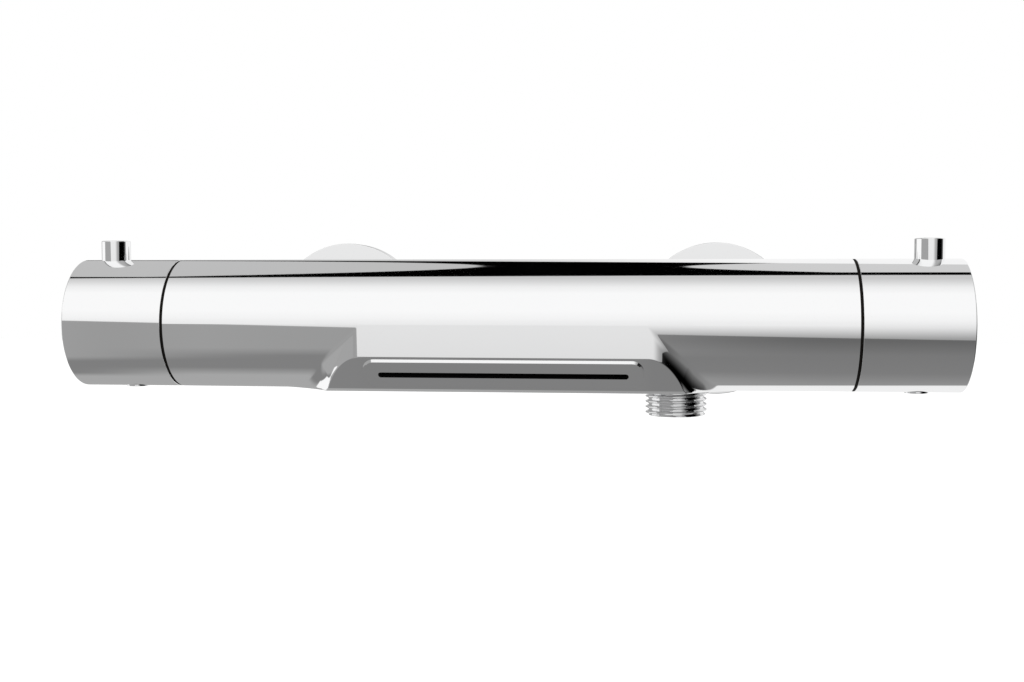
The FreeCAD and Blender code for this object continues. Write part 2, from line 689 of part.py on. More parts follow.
BUTTON_FLANGE_TOP = math.sqrt(HANDLE_BORE_R ** 2 - (BUTTON_FLANGE_R + LOOSE) ** 2) - FIT
BUTTON_FLANGE_BACK = BUTTON_FLANGE_TOP - BUTTON_FLANGE_T
BUTTON_POCKET = BUTTON_FLANGE_BACK - BUTTON_SPRING


def handle(side, button_out):
    outer_end = HANDLE_GAP + HANDLE_LENGTH
    shell = turn_side(side, band(HANDLE_GAP, outer_end, BODY_R))
    rim = [e for e in shell.Edges if abs(e.BoundBox.Center.x - side * (BODY_END + outer_end)) < FIT
           and e.BoundBox.XLength < FIT and e.BoundBox.YLength > BODY_R]
    shell = shell.makeFillet(HANDLE_EDGE_R, rim)
    hollow = turn_side(side, band(HANDLE_GAP - FIT, outer_end - HANDLE_END_T, HANDLE_BORE_R))
    lever_hole = turn_z(side * (BODY_END + LEVER_OUT), band(0, 2 * BODY_R, LEVER_STUD_R + FIT))
    button_hole = turn_z(button_axis(side, button_out), band(-2 * BODY_R, 0, BUTTON_R + RUN))
    return shell.cut([hollow, lever_hole, button_hole])


def lever_pin(side):
    top = BODY_R + LEVER_RISE
    seat = math.sqrt(BODY_R ** 2 - LEVER_R ** 2)
    outline = [(BODY_R - LEVER_STUD, 0), (BODY_R - LEVER_STUD, LEVER_STUD_R), (seat, LEVER_STUD_R),
               (seat, LEVER_R), (top - LEVER_EDGE, LEVER_R), (top, LEVER_R - LEVER_EDGE), (top, 0)]
    x = side * (BODY_END + LEVER_OUT)
    handle_skin = turn_side(side, band(HANDLE_GAP, HANDLE_GAP + HANDLE_LENGTH, BODY_R, LEVER_STUD_R))
    stud = turn_z(x, stepped([(BODY_R - LEVER_STUD, BODY_R, LEVER_STUD_R)]))
    return turn_z(x, outline).cut(handle_skin).fuse(stud)


def spline_insert(side, button_out):
    start = INSERT_HUB_OUT
    end = start + INSERT_HUB_LENGTH
    hub = turn_side(side, band(start, end, HANDLE_BORE_R - FIT))
    finger = turn_side(side, band(start - FINGER_REACH, start, FINGER_OUTER_R, FINGER_INNER_R),
                       LEVER_ANGLE - FINGER_ARC / 2, FINGER_ARC)
    hole = spline_bar(side, start - FIT, NECK_OUT + SPLINE_LENGTH, SPLINE_R + SPLINE_CLEAR,
                      SPLINE_R - SPLINE_DEPTH + SPLINE_CLEAR)
    seat = NECK_OUT + SPLINE_LENGTH + SCREW_HEAD_T / 2
    screw_hole = turn_side(side, stepped([
        (NECK_OUT, seat, SCREW_R + LOOSE), (seat, end + FIT, SCREW_HEAD_R + LOOSE)]))
    lever_hole = turn_z(side * (BODY_END + LEVER_OUT),
                        band(BODY_R - LEVER_STUD - FIT, BODY_R, LEVER_STUD_R + FIT))
    pocket = turn_z(button_axis(side, button_out), band(-BODY_R, -BUTTON_POCKET, BUTTON_FLANGE_R + LOOSE))
    return hub.fuse(finger).cut([hole, screw_hole, lever_hole, pocket])


def insert_screw(side):
    seat = NECK_OUT + SPLINE_LENGTH + SCREW_HEAD_T / 2
    body = stepped([(seat - SCREW_LENGTH, seat, SCREW_R), (seat, seat + SCREW_HEAD_T, SCREW_HEAD_R)])
    socket = band(seat + SCREW_HEAD_T / 3, seat + SCREW_HEAD_T + FIT, SCREW_SOCKET_R)
    return turn_side(side, body).cut(turn_side(side, socket))


def spindle(side, inner_steps):
    """Spindle of a cartridge: inner steps, the journal in the neck, and the spline with its screw hole."""
    shaft = turn_side(side, stepped(inner_steps + [(-SPINDLE_SHOULDER, NECK_OUT, SPINDLE_R)]))
    spline = spline_bar(side, NECK_OUT, NECK_OUT + SPLINE_LENGTH, SPLINE_R, SPLINE_R - SPLINE_DEPTH)
    depth = NECK_OUT + SPLINE_LENGTH + SCREW_HEAD_T / 2 - SCREW_LENGTH - LOOSE
    hole = turn_side(side, band(depth, NECK_OUT + SPLINE_LENGTH + FIT, SCREW_R + FIT))
    return shaft.fuse(spline).cut(hole)


def button(side, out):
    face = -BODY_R - BUTTON_PROUD
    outline = [(face, 0), (face, BUTTON_R - BUTTON_EDGE), (face + BUTTON_EDGE, BUTTON_R),
               (-BUTTON_FLANGE_TOP, BUTTON_R), (-BUTTON_FLANGE_TOP, BUTTON_FLANGE_R),
               (-BUTTON_FLANGE_BACK, BUTTON_FLANGE_R), (-BUTTON_FLANGE_BACK, 0)]
    return turn_z(button_axis(side, out), outline)


def button_spring(side, out):
    return turn_z(button_axis(side, out), band(-BUTTON_FLANGE_BACK, -BUTTON_POCKET,
                                               BUTTON_R - LOOSE, BUTTON_R / 2))


# Thermostatic cartridge

def cartridge_barrel(side, depth, extra_steps, inner_r):
    """Housing blank: barrel, flange and neck, bored for its chamber and its spindle."""
    barrel_r = CARTRIDGE_BORE_R - FIT
    outer = stepped(extra_steps + [
        (extra_steps[-1][1] if extra_steps else -depth, -COUNTERBORE_DEPTH, barrel_r),
        (-COUNTERBORE_DEPTH, FLANGE_T - COUNTERBORE_DEPTH, COUNTERBORE_R - FIT),
        (FLANGE_T - COUNTERBORE_DEPTH, NECK_OUT, NECK_R)])
    bore = stepped([(-depth - FIT, -SPINDLE_SHOULDER, inner_r),
                    (-SPINDLE_SHOULDER, NECK_OUT + FIT, SPINDLE_R + RUN)])
    return turn_side(side, outer).cut(turn_side(side, bore))


def thermostat_housing():
    side = TEMPERATURE_SIDE
    nose = [(-THERMOSTAT_DEPTH, NOSE_LENGTH - THERMOSTAT_DEPTH, NOSE_R)]
    barrel = cartridge_barrel(side, THERMOSTAT_DEPTH, nose, CHAMBER_R)
    hot_in = BODY_END - INLET_X
    cuts = o_ring_grooves(side, THERMOSTAT_RINGS, CARTRIDGE_BORE_R)
    for middle, width in ((hot_in, HOT_WINDOW_W), (COLD_WINDOW_IN, COLD_WINDOW_W)):
        cuts += polar_sectors(side, -middle - width / 2, -middle + width / 2, CHAMBER_R - LOOSE,
                              CARTRIDGE_BORE_R, WINDOWS, WINDOW_ARC)
    return barrel.cut(cuts)


def thermostat_spindle():
    collar_start = -SPINDLE_SHOULDER - COLLAR_PLAY - COLLAR_T
    return spindle(TEMPERATURE_SIDE, [
        (collar_start - DRIVE_STUD, collar_start, DRIVE_STUD_R),
        (collar_start, -SPINDLE_SHOULDER - COLLAR_PLAY, COLLAR_R),
        (-SPINDLE_SHOULDER - COLLAR_PLAY, -SPINDLE_SHOULDER, SPINDLE_R)])


CAPSULE_OUTER = -CAPSULE_IN
CAPSULE_INNER = CAPSULE_OUTER - CAPSULE_LENGTH
CAPSULE_FLOOR = CAPSULE_OUTER - CAPSULE_TOP
ELEMENT_SEAT = CAPSULE_INNER + ELEMENT_FLANGE_T


def adjusting_capsule():
    side = TEMPERATURE_SIDE
    cup = turn_side(side, band(CAPSULE_INNER, CAPSULE_OUTER, CHAMBER_R - RUN))
    bore = turn_side(side, stepped([(CAPSULE_INNER - FIT, CAPSULE_FLOOR, CAPSULE_BORE_R),
                                    (CAPSULE_FLOOR, CAPSULE_OUTER + FIT, DRIVE_STUD_R + RUN)]))
    return cup.cut(bore)


def overload_spring():
    outer = CAPSULE_BORE_R - 2 * LOOSE
    return turn_side(TEMPERATURE_SIDE, band(ELEMENT_SEAT, CAPSULE_FLOOR, outer, outer - OVERLOAD_WALL))


def wax_element():
    body_end = CAPSULE_INNER - ELEMENT_LENGTH
    bulb_end = body_end - BULB_LENGTH
    side = TEMPERATURE_SIDE
    shape = turn_side(side, stepped([
        (bulb_end + BULB_R, body_end, BULB_R), (body_end, CAPSULE_INNER, ELEMENT_R),
        (CAPSULE_INNER, ELEMENT_SEAT, CAPSULE_BORE_R - LOOSE),
        (ELEMENT_SEAT, ELEMENT_SEAT + ELEMENT_PIN, ELEMENT_PIN_R)]))
    return shape.fuse(Part.makeSphere(BULB_R, V(side * (BODY_END + bulb_end + BULB_R), 0, 0)))


SPOOL_OUTER = -SPOOL_IN
SPOOL_INNER = SPOOL_OUTER - SPOOL_LENGTH
SPOOL_WEB_OUTER = SPOOL_OUTER - SPOOL_WEB_IN
SPOOL_WEB_INNER = SPOOL_WEB_OUTER - SPOOL_WEB_T


def regulating_spool():
    side = TEMPERATURE_SIDE
    sleeve_r = CHAMBER_R - RUN
    sleeve = turn_side(side, band(SPOOL_INNER, SPOOL_OUTER, sleeve_r, sleeve_r - SPOOL_WALL))
    hub = turn_side(side, band(SPOOL_WEB_INNER, SPOOL_WEB_OUTER, sleeve_r - SPOOL_WALL / 2, ELEMENT_R + FIT))
    windows = polar_sectors(side, SPOOL_WEB_INNER - FIT, SPOOL_WEB_OUTER + FIT, SPOOL_HUB_R,
                            sleeve_r - SPOOL_WALL, SPOOL_WINDOWS, SPOOL_WINDOW_ARC)
    return sleeve.fuse(hub.cut(windows)).removeSplitter()


def spring_seat():
    return turn_side(TEMPERATURE_SIDE, band(-THERMOSTAT_DEPTH, SPRING_SEAT_T - THERMOSTAT_DEPTH,
                                            CHAMBER_R - FIT / 2, SPRING_SEAT_BORE_R))


def return_spring():
    return turn_side(TEMPERATURE_SIDE, band(SPRING_SEAT_T - THERMOSTAT_DEPTH, SPOOL_WEB_INNER,
                                            RETURN_SPRING_R, RETURN_SPRING_R - RETURN_SPRING_WALL))


# Diverter cartridge

CARRIER_OUTER = -SPINDLE_SHOULDER - CARRIER_PLAY
CARRIER_INNER = CARRIER_OUTER - CARRIER_T
DISC_INNER = CARRIER_INNER - DISC_T
FIXED_OUTER = DISC_INNER - DISC_GAP
FIXED_INNER = FIXED_OUTER - FIXED_DISC_T
SEAL_INNER = FIXED_INNER - SEAL_T
BASE_INNER = SEAL_INNER - BASE_T


def diverter_housing():
    blank = cartridge_barrel(FLOW_SIDE, -BASE_INNER, [], DISC_CHAMBER_R)
    return blank.cut(o_ring_grooves(FLOW_SIDE, DIVERTER_RINGS, CARTRIDGE_BORE_R))


def ported_plate(inner, outer, radius):
    """Round plate of the diverter with its middle inlet and its two kidney ports."""
    plate = turn_side(FLOW_SIDE, band(inner, outer, radius))
    holes = [turn_side(FLOW_SIDE, band(inner - FIT, outer + FIT, PORT_R))]
    for start, end in (BATH_PORT, SHOWER_PORT):
        profile = band(inner - FIT, outer + FIT, KIDNEY_OUTER_R, KIDNEY_INNER_R)
        holes.append(turn_side(FLOW_SIDE, profile, start, end - start))
    return plate.cut(holes)


def moving_disc():
    disc = turn_side(FLOW_SIDE, band(DISC_INNER, CARRIER_INNER, DISC_CHAMBER_R - DISC_CLEAR))
    floor = DISC_INNER + DISC_SLOT_DEPTH
    middle = turn_side(FLOW_SIDE, band(DISC_INNER - FIT, floor, PORT_R))
    arm = turn_side(FLOW_SIDE, band(DISC_INNER - FIT, floor, KIDNEY_OUTER_R),
                    DISC_SLOT_ANGLE - DISC_SLOT_ARC / 2, DISC_SLOT_ARC)
    return disc.cut([middle, arm])


def diverter_spindle():
    return spindle(FLOW_SIDE, [(CARRIER_INNER, CARRIER_OUTER, DISC_CHAMBER_R - DISC_CLEAR),
                               (CARRIER_OUTER, -SPINDLE_SHOULDER, SPINDLE_R)])


# Saving

def save(name, shape):
    shape = shape.copy()
    shape.translate(V(0, -AXIS_OUT, CONNECTOR_OFFSET))
    shape.exportStep("parts/" + name + ".step")


def main():
    os.makedirs("parts", exist_ok=True)
    save("mixer_body", mixer_body())
    save("waterfall_insert", waterfall_insert())
    save("waterfall_gasket", waterfall_gasket())
    save("hose_nipple", hose_nipple())
    save("hose_nipple_seal", hose_nipple_seal())

    for name, x in (("hot", -INLET_X), ("cold", INLET_X)):
        save(name + "_inlet_nipple", inlet_nipple(x))
        save(name + "_inlet_seal", inlet_seal(x))
        save(name + "_union_nut", union_nut(x))
        save(name + "_filter_washer", filter_washer(x))
        save(name + "_s_connector", s_connector(x))
        save(name + "_rosette", rosette(x))
        save(name + "_check_housing", check_housing(x))
        save(name + "_check_poppet", check_poppet(x))
        save(name + "_check_spring", check_spring(x))

    ends = (
        ("temperature", "safety", TEMPERATURE_SIDE, SAFETY_BUTTON_OUT, TEMPERATURE_RANGE),
        ("flow", "eco", FLOW_SIDE, ECO_BUTTON_OUT, FLOW_RANGE),
    )
    for name, button_name, side, button_out, turn_range in ends:
        save(name + "_handle", handle(side, button_out))
        save(name + "_lever_pin", lever_pin(side))
        save(name + "_spline_insert", spline_insert(side, button_out))
        save(name + "_insert_screw", insert_screw(side))
        save(name + "_glide_ring", glide_ring(side))
        save(name + "_stop_ring", stop_ring(side, turn_range))
        save(name + "_retaining_nut", retaining_nut(side))
        save(button_name + "_button", button(side, button_out))
        save(button_name + "_button_spring", button_spring(side, button_out))

    save("thermostat_housing", thermostat_housing())
    save("thermostat_o_rings", o_rings(TEMPERATURE_SIDE, THERMOSTAT_RINGS, CARTRIDGE_BORE_R))
    save("thermostat_spindle", thermostat_spindle())
    save("adjusting_capsule", adjusting_capsule())
    save("overload_spring", overload_spring())
    save("wax_element", wax_element())
    save("regulating_spool", regulating_spool())
    save("return_spring", return_spring())
    save("spring_seat", spring_seat())

    save("diverter_housing", diverter_housing())
    save("diverter_o_rings", o_rings(FLOW_SIDE, DIVERTER_RINGS, CARTRIDGE_BORE_R))
    save("diverter_spindle", diverter_spindle())
    save("moving_disc", moving_disc())
    save("fixed_disc", ported_plate(FIXED_INNER, FIXED_OUTER, DISC_CHAMBER_R - FIT))
    save("diverter_seal", ported_plate(SEAL_INNER, FIXED_INNER, DISC_CHAMBER_R - FIT))
    save("diverter_base", ported_plate(BASE_INNER, SEAL_INNER, DISC_CHAMBER_R - FIT))


main()
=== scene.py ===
import bmesh
import bpy
import json
import math
from mathutils import Matrix, Vector


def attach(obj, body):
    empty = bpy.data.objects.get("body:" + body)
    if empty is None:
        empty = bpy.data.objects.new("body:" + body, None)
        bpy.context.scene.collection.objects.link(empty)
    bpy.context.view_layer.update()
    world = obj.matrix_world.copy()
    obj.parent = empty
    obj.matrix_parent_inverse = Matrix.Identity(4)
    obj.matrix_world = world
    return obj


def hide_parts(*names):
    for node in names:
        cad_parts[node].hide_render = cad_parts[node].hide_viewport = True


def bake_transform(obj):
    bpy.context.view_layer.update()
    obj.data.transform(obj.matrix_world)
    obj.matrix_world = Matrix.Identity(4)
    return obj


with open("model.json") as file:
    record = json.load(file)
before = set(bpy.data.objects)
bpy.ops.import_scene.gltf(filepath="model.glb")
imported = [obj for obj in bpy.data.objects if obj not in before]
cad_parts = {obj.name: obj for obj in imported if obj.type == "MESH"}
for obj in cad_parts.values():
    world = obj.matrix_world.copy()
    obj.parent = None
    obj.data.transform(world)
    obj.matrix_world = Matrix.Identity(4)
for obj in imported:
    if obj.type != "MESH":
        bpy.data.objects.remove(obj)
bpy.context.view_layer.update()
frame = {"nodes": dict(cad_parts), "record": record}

# Sizes are in millimetres. Pieces are drawn about the tube's axis, with Y towards the wall. Handles and
# what sits on them are measured outwards from the tube's end, and the inlets from the axis to the wall.

# Tube, and the room that a cut has past a face
TUBE_R = 22.5
TUBE_END = 116.5
WALL = 82.0
CLEAR = 1.0

# Chambers for the two cartridges
CHAMBER_R = 16.0
CHAMBER_MOUTH = 7.0
CHAMBER_MOUTH_R = 18.0
THERMOSTAT_DEPTH = 74.0
DIVERTER_DEPTH = 32.0

# Spout, with the lip under its outlet face
SPOUT_HALF = 48.3
SPOUT_CORNER_R = 14.8
SPOUT_CORNER_TURN = math.radians(52.0)
SPOUT_REACH = 30.0
SPOUT_EDGE = 0.35
SPOUT_BLEND = 7.0
SPOUT_DROP = 0.3
APRON = 10.7
LIP_OUT = 15.8
LIP_SOFT = 0.12
LIP_BAND = 0.95
LIP_ANGLE = math.radians(34.0)

# Sections of the body: from and to in degrees, from straight down towards the front, and steps
SPOUT_SPANS = ((0, 30, 60), (30, 66, 216), (66, 91, 100), (91, 360, 90))
CORNER_STATIONS = 64
FLANK_STATIONS = 26

# Waterfall plate, its pocket and its slot, which is lower at its mouth
INSERT_WIDTH = 94.4
INSERT_HEIGHT = 11.0
INSERT_CORNER = 4.0
INSERT_THICKNESS = 3.0
INSERT_MIDDLE = 6.2
INSERT_PROUD = 0.8
INSERT_RUN = 4.5
POCKET_DEPTH = 4.0
POCKET_PLAY = 0.005
SLOT_WIDTH = 84.4
SLOT_HEIGHT = 2.5
SLOT_DROP = 1.0
SLOT_MOUTH = 2.05
SLOT_MOUTH_DROP = 0.775
SLOT_MOUTH_DEPTH = 0.3
SLOT_END = 0.45

# Pipe thread
PIPE_R = 10.4775
PIPE_PITCH = 1.814
PIPE_DEPTH = 1.16
CREST_EASE = 0.1

# Hose outlet, as heights from the axis
HOSE_X = 58.1
HOSE_END = -31.0
HOSE_NECK = -23.4
HOSE_NECK_R = 9.2
HOSE_BOSS = -22.8
HOSE_BOSS_ROOT = -12.0
HOSE_BOSS_R = 12.5
HOSE_FOOT = -14.8
HOSE_FOOT_R = 8.6
HOSE_SEAT_R = 8.7
HOSE_BORE_R = 6.5
HOSE_CHAMFER = 0.8

# Handles, glide rings, lever pins and buttons
HANDLE_START = 1.0
HANDLE_FLOOR = 32.2
HANDLE_END = 36.2
HANDLE_BORE_R = 19.0
HANDLE_EDGE = 0.4
HANDLE_RIM = 0.15
GLIDE_R = 22.4
GLIDE_THICKNESS = 0.9
GLIDE_NECK_END = 4.3
GLIDE_NECK_R = 18.94
GLIDE_NECK_WALL = 1.9
PIN_OUT = 25.7
PIN_FOOT = 13.5
PIN_SHOULDER = 21.9
PIN_TOP = 29.3
PIN_STEM_R = 3.0
PIN_HOLE_R = 3.1
PIN_R = 5.0
PIN_EDGE = 0.35
SAFETY_BUTTON_OUT = 18.1
ECO_BUTTON_OUT = 22.0
BUTTON_FACE = -22.75
BUTTON_FLANGE = -18.231
BUTTON_BACK = -16.831
BUTTON_R = 4.0
BUTTON_HOLE_R = 4.06
BUTTON_FLANGE_R = 4.8
BUTTON_EDGE = 0.15
BUTTON_SPRING = 4.8
BUTTON_COIL_R = 3.3
BUTTON_WIRE_R = 0.25
BUTTON_TURNS = 4
HOLE_START = 10.0
HOLE_END = 30.0

# Inlets: nipple, union nut, S connector and rosette
INLET_X = 75.0
INLET_BOSS_R = 14.0
INLET_FACE = 25.5
NIPPLE_FOOT = 17.0
NIPPLE_FOOT_R = 10.0
NIPPLE_SEAT_R = 10.1
NIPPLE_WATER_R = 5.5
NIPPLE_R = 9.5
NIPPLE_HEX_END = 29.0
NIPPLE_FLATS = 24.0
NIPPLE_COLLAR = 43.0
NIPPLE_COLLAR_R = 12.6
NIPPLE_MOUTH = 46.0
VALVE_SEAT = 22.0
VALVE_BORE_R = 7.6
NUT_START = 38.5
NUT_END = 58.2
NUT_FLATS = 30.0
NUT_HOLE_R = 9.7
NUT_SEAT_R = 13.32
UNION_R = 13.22
UNION_START = 48.2
UNION_END = 77.0
UNION_BORE_R = 7.0
CRANK_END = 80.0
STUD_DROP = 8.0
STUD_NECK_R = 11.5
STUD_END = 97.0
STUD_BORE_R = 6.0
STUD_CHAMFER = 1.0
ROSE_FACE = 74.0
ROSE_WALL = 1.6
ROSE_R = 30.3
ROSE_HOLLOW_R = 28.7
ROSE_HOLE_R = 13.42
ROSE_EDGE = 0.25

# Springs of the thermostat and the check valves
RETURN_SPRING_FOOT = -45.5
RETURN_SPRING = 17.0
RETURN_COIL_R = 9.2
RETURN_WIRE_R = 0.6
RETURN_TURNS = 7
CHECK_SPRING_FOOT = 24.0
CHECK_SPRING = 11.95
CHECK_COIL_R = 4.0
CHECK_WIRE_R = 0.45
CHECK_TURNS = 7

# Shading and mesh tolerances
SHARP = math.radians(32.0)
NEAR = 0.01
HAIR = 0.001
WELD = 0.0005
TINY = 0.0001
HALVINGS = 24

X = Vector((1, 0, 0))
Y = Vector((0, 1, 0))
Z = Vector((0, 0, 1))
MM = 0.001
PLACE = Matrix.Translation((0, -WALL * MM, STUD_DROP * MM)) @ Matrix.Scale(MM, 4)


# Shader sockets

class Socket:
    """A socket of a node tree, with arithmetic that adds Math nodes."""

    def __init__(self, tree, socket):
        self.tree = tree
        self.socket = socket

    def node(self, kind, settings=None, output=0, **values):
        """A new node's output. Sockets are set or linked by name, or as i0, i1 and so on by number."""
        made = self.tree.nodes.new(kind)
        for name, value in (settings or {}).items():
            if name == "stops":
                ramp = made.color_ramp.elements
                for i, (place, level) in enumerate(value):
                    stop = ramp[i] if i < 2 else ramp.new(place)
                    stop.position = place
                    stop.color = (level, level, level, 1)
            else:
                setattr(made, name, value)
        for name, value in values.items():
            key = int(name[1:]) if name[0] == "i" and name[1:].isdigit() else name.replace("_", " ")
            if isinstance(value, Socket):
                self.tree.links.new(value.socket, made.inputs[key])
            else:
                made.inputs[key].default_value = value
        return Socket(self.tree, made.outputs[output])

    def math(self, operation, a, b=0.0):
        return self.node("ShaderNodeMath", {"operation": operation}, i0=a, i1=b)

    def __add__(self, other):
        return self.math("ADD", self, other)

    def __radd__(self, other):
        return self.math("ADD", other, self)

    def __sub__(self, other):
        return self.math("SUBTRACT", self, other)

    def __rsub__(self, other):
        return self.math("SUBTRACT", other, self)

    def __mul__(self, other):
        return self.math("MULTIPLY", self, other)

    def __rmul__(self, other):
        return self.math("MULTIPLY", other, self)

    def __truediv__(self, other):
        return self.math("DIVIDE", self, other)

    def __neg__(self):
        return self.math("MULTIPLY", self, -1.0)

    def __abs__(self):
        return self.math("ABSOLUTE", self)

    def rise(self, low, high):
        """0 below low, 1 above high, and smooth between them."""
        return self.node("ShaderNodeMapRange", {"interpolation_type": "SMOOTHSTEP"},
                         i0=self, i1=low, i2=high, i3=0.0, i4=1.0)

    def mix(self, other, share):
        """This value, turned into other by share."""
        return self + (other - self) * share


def new_material(name):
    """A material, its node tree, its shader, and a socket to build on."""
    material = bpy.data.materials.new(name)
    material.use_nodes = True
    tree = material.node_tree
    shader = tree.nodes["Principled BSDF"]
    return material, tree, shader, Socket(tree, shader.outputs[0])


def link(tree, value, shader, name):
    tree.links.new(value.socket, shader.inputs[name])


# Finishes

def plated(name, tint=0.95, rough=0.035, spread=0.03):
    """Bright plating: even to the eye, with a thin wiped film and faint ripples under it."""
    material, tree, shader, at = new_material(name)
    shader.inputs["Metallic"].default_value = 1.0
    place = at.node("ShaderNodeTexCoord", output=3)
    film = at.node("ShaderNodeTexNoise", Vector=place, Scale=38.0, Detail=4.0, Roughness=0.6)
    drawn = at.node("ShaderNodeMapping", Vector=place, Scale=(30.0, 900.0, 900.0))
    wipe = at.node("ShaderNodeTexNoise", Vector=drawn, Scale=1.0, Detail=2.0)
    marks = film.rise(0.42, 0.75) * 0.6 + wipe.rise(0.45, 0.8) * 0.4
    link(tree, rough + marks * spread, shader, "Roughness")
    warm = (tint, tint, tint, 1)
    cool = (tint * 0.985, tint * 0.988, tint * 0.995, 1)
    colour = at.node("ShaderNodeMix", {"data_type": "RGBA"}, 2, i0=film, i6=warm, i7=cool)
    link(tree, colour, shader, "Base Color")
    ripple = at.node("ShaderNodeTexNoise", Vector=place, Scale=55.0, Detail=1.0)
    bump = at.node("ShaderNodeBump", Strength=0.012, Distance=0.0004, Height=ripple)
    link(tree, bump, shader, "Normal")
    return material


def brass_finish(name):
    """Turned brass: fine tool marks round the piece and a little tarnish."""
    material, tree, shader, at = new_material(name)
    shader.inputs["Metallic"].default_value = 1.0
    place = at.node("ShaderNodeTexCoord", output=3)
    blotch = at.node("ShaderNodeTexNoise", Vector=place, Scale=120.0, Detail=5.0)
    lathe = at.node("ShaderNodeTexNoise", Vector=at.node(
        "ShaderNodeMapping", Vector=place, Scale=(2600.0, 90.0, 90.0)), Scale=1.0, Detail=2.0)
    colour = at.node("ShaderNodeMix", {"data_type": "RGBA"}, 2, i0=blotch.rise(0.4, 0.7),
                     i6=(0.76, 0.58, 0.30, 1), i7=(0.62, 0.44, 0.19, 1))
    link(tree, colour, shader, "Base Color")
    link(tree, 0.22 + blotch * 0.12 + lathe * 0.1, shader, "Roughness")
    link(tree, at.node("ShaderNodeBump", Strength=0.1, Distance=0.0001, Height=lathe), shader, "Normal")
    return material


def moulded(name, light, dark, rough, scale=700.0, gloss=0.5):
    """Moulded plastic or rubber: fine grain, and a tone that drifts a little."""
    material, tree, shader, at = new_material(name)
    shader.inputs["Specular IOR Level"].default_value = gloss
    place = at.node("ShaderNodeTexCoord", output=3)
    drift = at.node("ShaderNodeTexNoise", Vector=place, Scale=90.0, Detail=3.0)
    grain = at.node("ShaderNodeTexNoise", Vector=place, Scale=scale, Detail=2.0)
    colour = at.node("ShaderNodeMix", {"data_type": "RGBA"}, 2,
                     i0=drift, i6=(*light, 1), i7=(*dark, 1))
    link(tree, colour, shader, "Base Color")
    link(tree, rough + grain * 0.15, shader, "Roughness")
    link(tree, at.node("ShaderNodeBump", Strength=0.15, Distance=0.0001, Height=grain), shader, "Normal")
    return material


def wire_steel(name):
    """Drawn spring wire: streaks along its length."""
    material, tree, shader, at = new_material(name)
    shader.inputs["Metallic"].default_value = 1.0
    place = at.node("ShaderNodeTexCoord", output=3)
    streak = at.node("ShaderNodeTexNoise", Vector=at.node(
        "ShaderNodeMapping", Vector=place, Scale=(300.0, 2000.0, 2000.0)), Scale=1.0, Detail=3.0)
    colour = at.node("ShaderNodeMix", {"data_type": "RGBA"}, 2, i0=streak,
                     i6=(0.66, 0.66, 0.67, 1), i7=(0.52, 0.52, 0.54, 1))
    link(tree, colour, shader, "Base Color")
    link(tree, 0.25 + streak * 0.2, shader, "Roughness")
    return material


PLATING = plated("bright_plating")
THREAD_PLATING = plated("thread_plating", 0.9, 0.06, 0.06)
BRASS = brass_finish("turned_brass")
RING_BLACK = moulded("glide_ring_black", (0.007, 0.0055, 0.004), (0.005, 0.004, 0.003), 0.6,
                     gloss=0.1)
PALE = moulded("pale_moulding", (0.80, 0.79, 0.76), (0.74, 0.73, 0.70), 0.4)
SEAL = moulded("seal_rubber", (0.028, 0.028, 0.028), (0.02, 0.02, 0.02), 0.6, 1200.0)
# Near-black rubber for the waterfall gasket, darker than the seal rubber: its own dark rubber plus painted
# shade inside the slot.
SLOT_RUBBER_AND_SHADE = moulded("slot_rubber_and_shade", (0.006, 0.006, 0.006), (0.004, 0.004, 0.004), 0.7, 1200.0,
                      gloss=0.1)
DISC = moulded("disc_ceramic", (0.90, 0.89, 0.86), (0.86, 0.85, 0.82), 0.12, 2000.0)
STEEL = wire_steel("spring_wire")
SLOT_FINISH = {"chrome": PLATING, "brass": BRASS, "dark_plastic": RING_BLACK, "pale_plastic": PALE,
               "rubber": SEAL, "ceramic": DISC, "steel": STEEL}


# Mesh tools

def spun(profile, direction, centre=(0, 0, 0), steps=96, closed=False):
    """Half outline of (along, radius), turned about an axis. A closed outline is a ring."""
    bm = bmesh.new()
    across = {0: Y, 1: X, 2: X}[list(map(abs, direction)).index(1)]
    centre = Vector(centre)
    points = [bm.verts.new(centre + direction * a + across * r) for a, r in profile]
    pairs = list(zip(points, points[1:]))
    if closed:
        pairs.append((points[-1], points[0]))
    edges = [bm.edges.new(p) for p in pairs]
    bmesh.ops.spin(bm, geom=points + edges, cent=centre, axis=direction, dvec=(0, 0, 0),
                   angle=2 * math.pi, steps=steps, use_merge=True, use_normal_flip=False,
                   use_duplicate=False)
    weld(bm)
    return bm


def bar(low, high, radius, direction, centre=(0, 0, 0), steps=96):
    """Plain round bar between two heights on an axis."""
    return spun([(low, 0), (low, radius), (high, radius), (high, 0)], direction, centre, steps)


def weld(bm):
    """Joins doubled points and turns the faces outwards."""
    bmesh.ops.remove_doubles(bm, verts=bm.verts, dist=WELD)
    bmesh.ops.recalc_face_normals(bm, faces=bm.faces)


def new_points(made):
    """The points among what an operator made."""
    return [g for g in made if isinstance(g, bmesh.types.BMVert)]


def new_edges(made):
    """The edges among what an operator made."""
    return [g for g in made if isinstance(g, bmesh.types.BMEdge)]


def everything(bm):
    """All points, edges and faces of a mesh."""
    return bm.verts[:] + bm.edges[:] + bm.faces[:]


def rounded(bm, test, radius, segments):
    """Bevels the edges whose two ends pass a test."""
    edges = [e for e in bm.edges if all(test(v.co) for v in e.verts)]
    bmesh.ops.bevel(bm, geom=edges, offset=radius, offset_type="OFFSET", segments=segments,
                    profile=0.5, affect="EDGES", material=-1, clamp_overlap=True)
    return bm


def at_ring(direction, centre, along, radius):
    """Test for points on one ring of a turned piece."""
    centre = Vector(centre)

    def test(point):
        out = point - centre
        height = out.dot(direction)
        return abs(height - along) < NEAR and abs((out - direction * height).length - radius) < NEAR
    return test


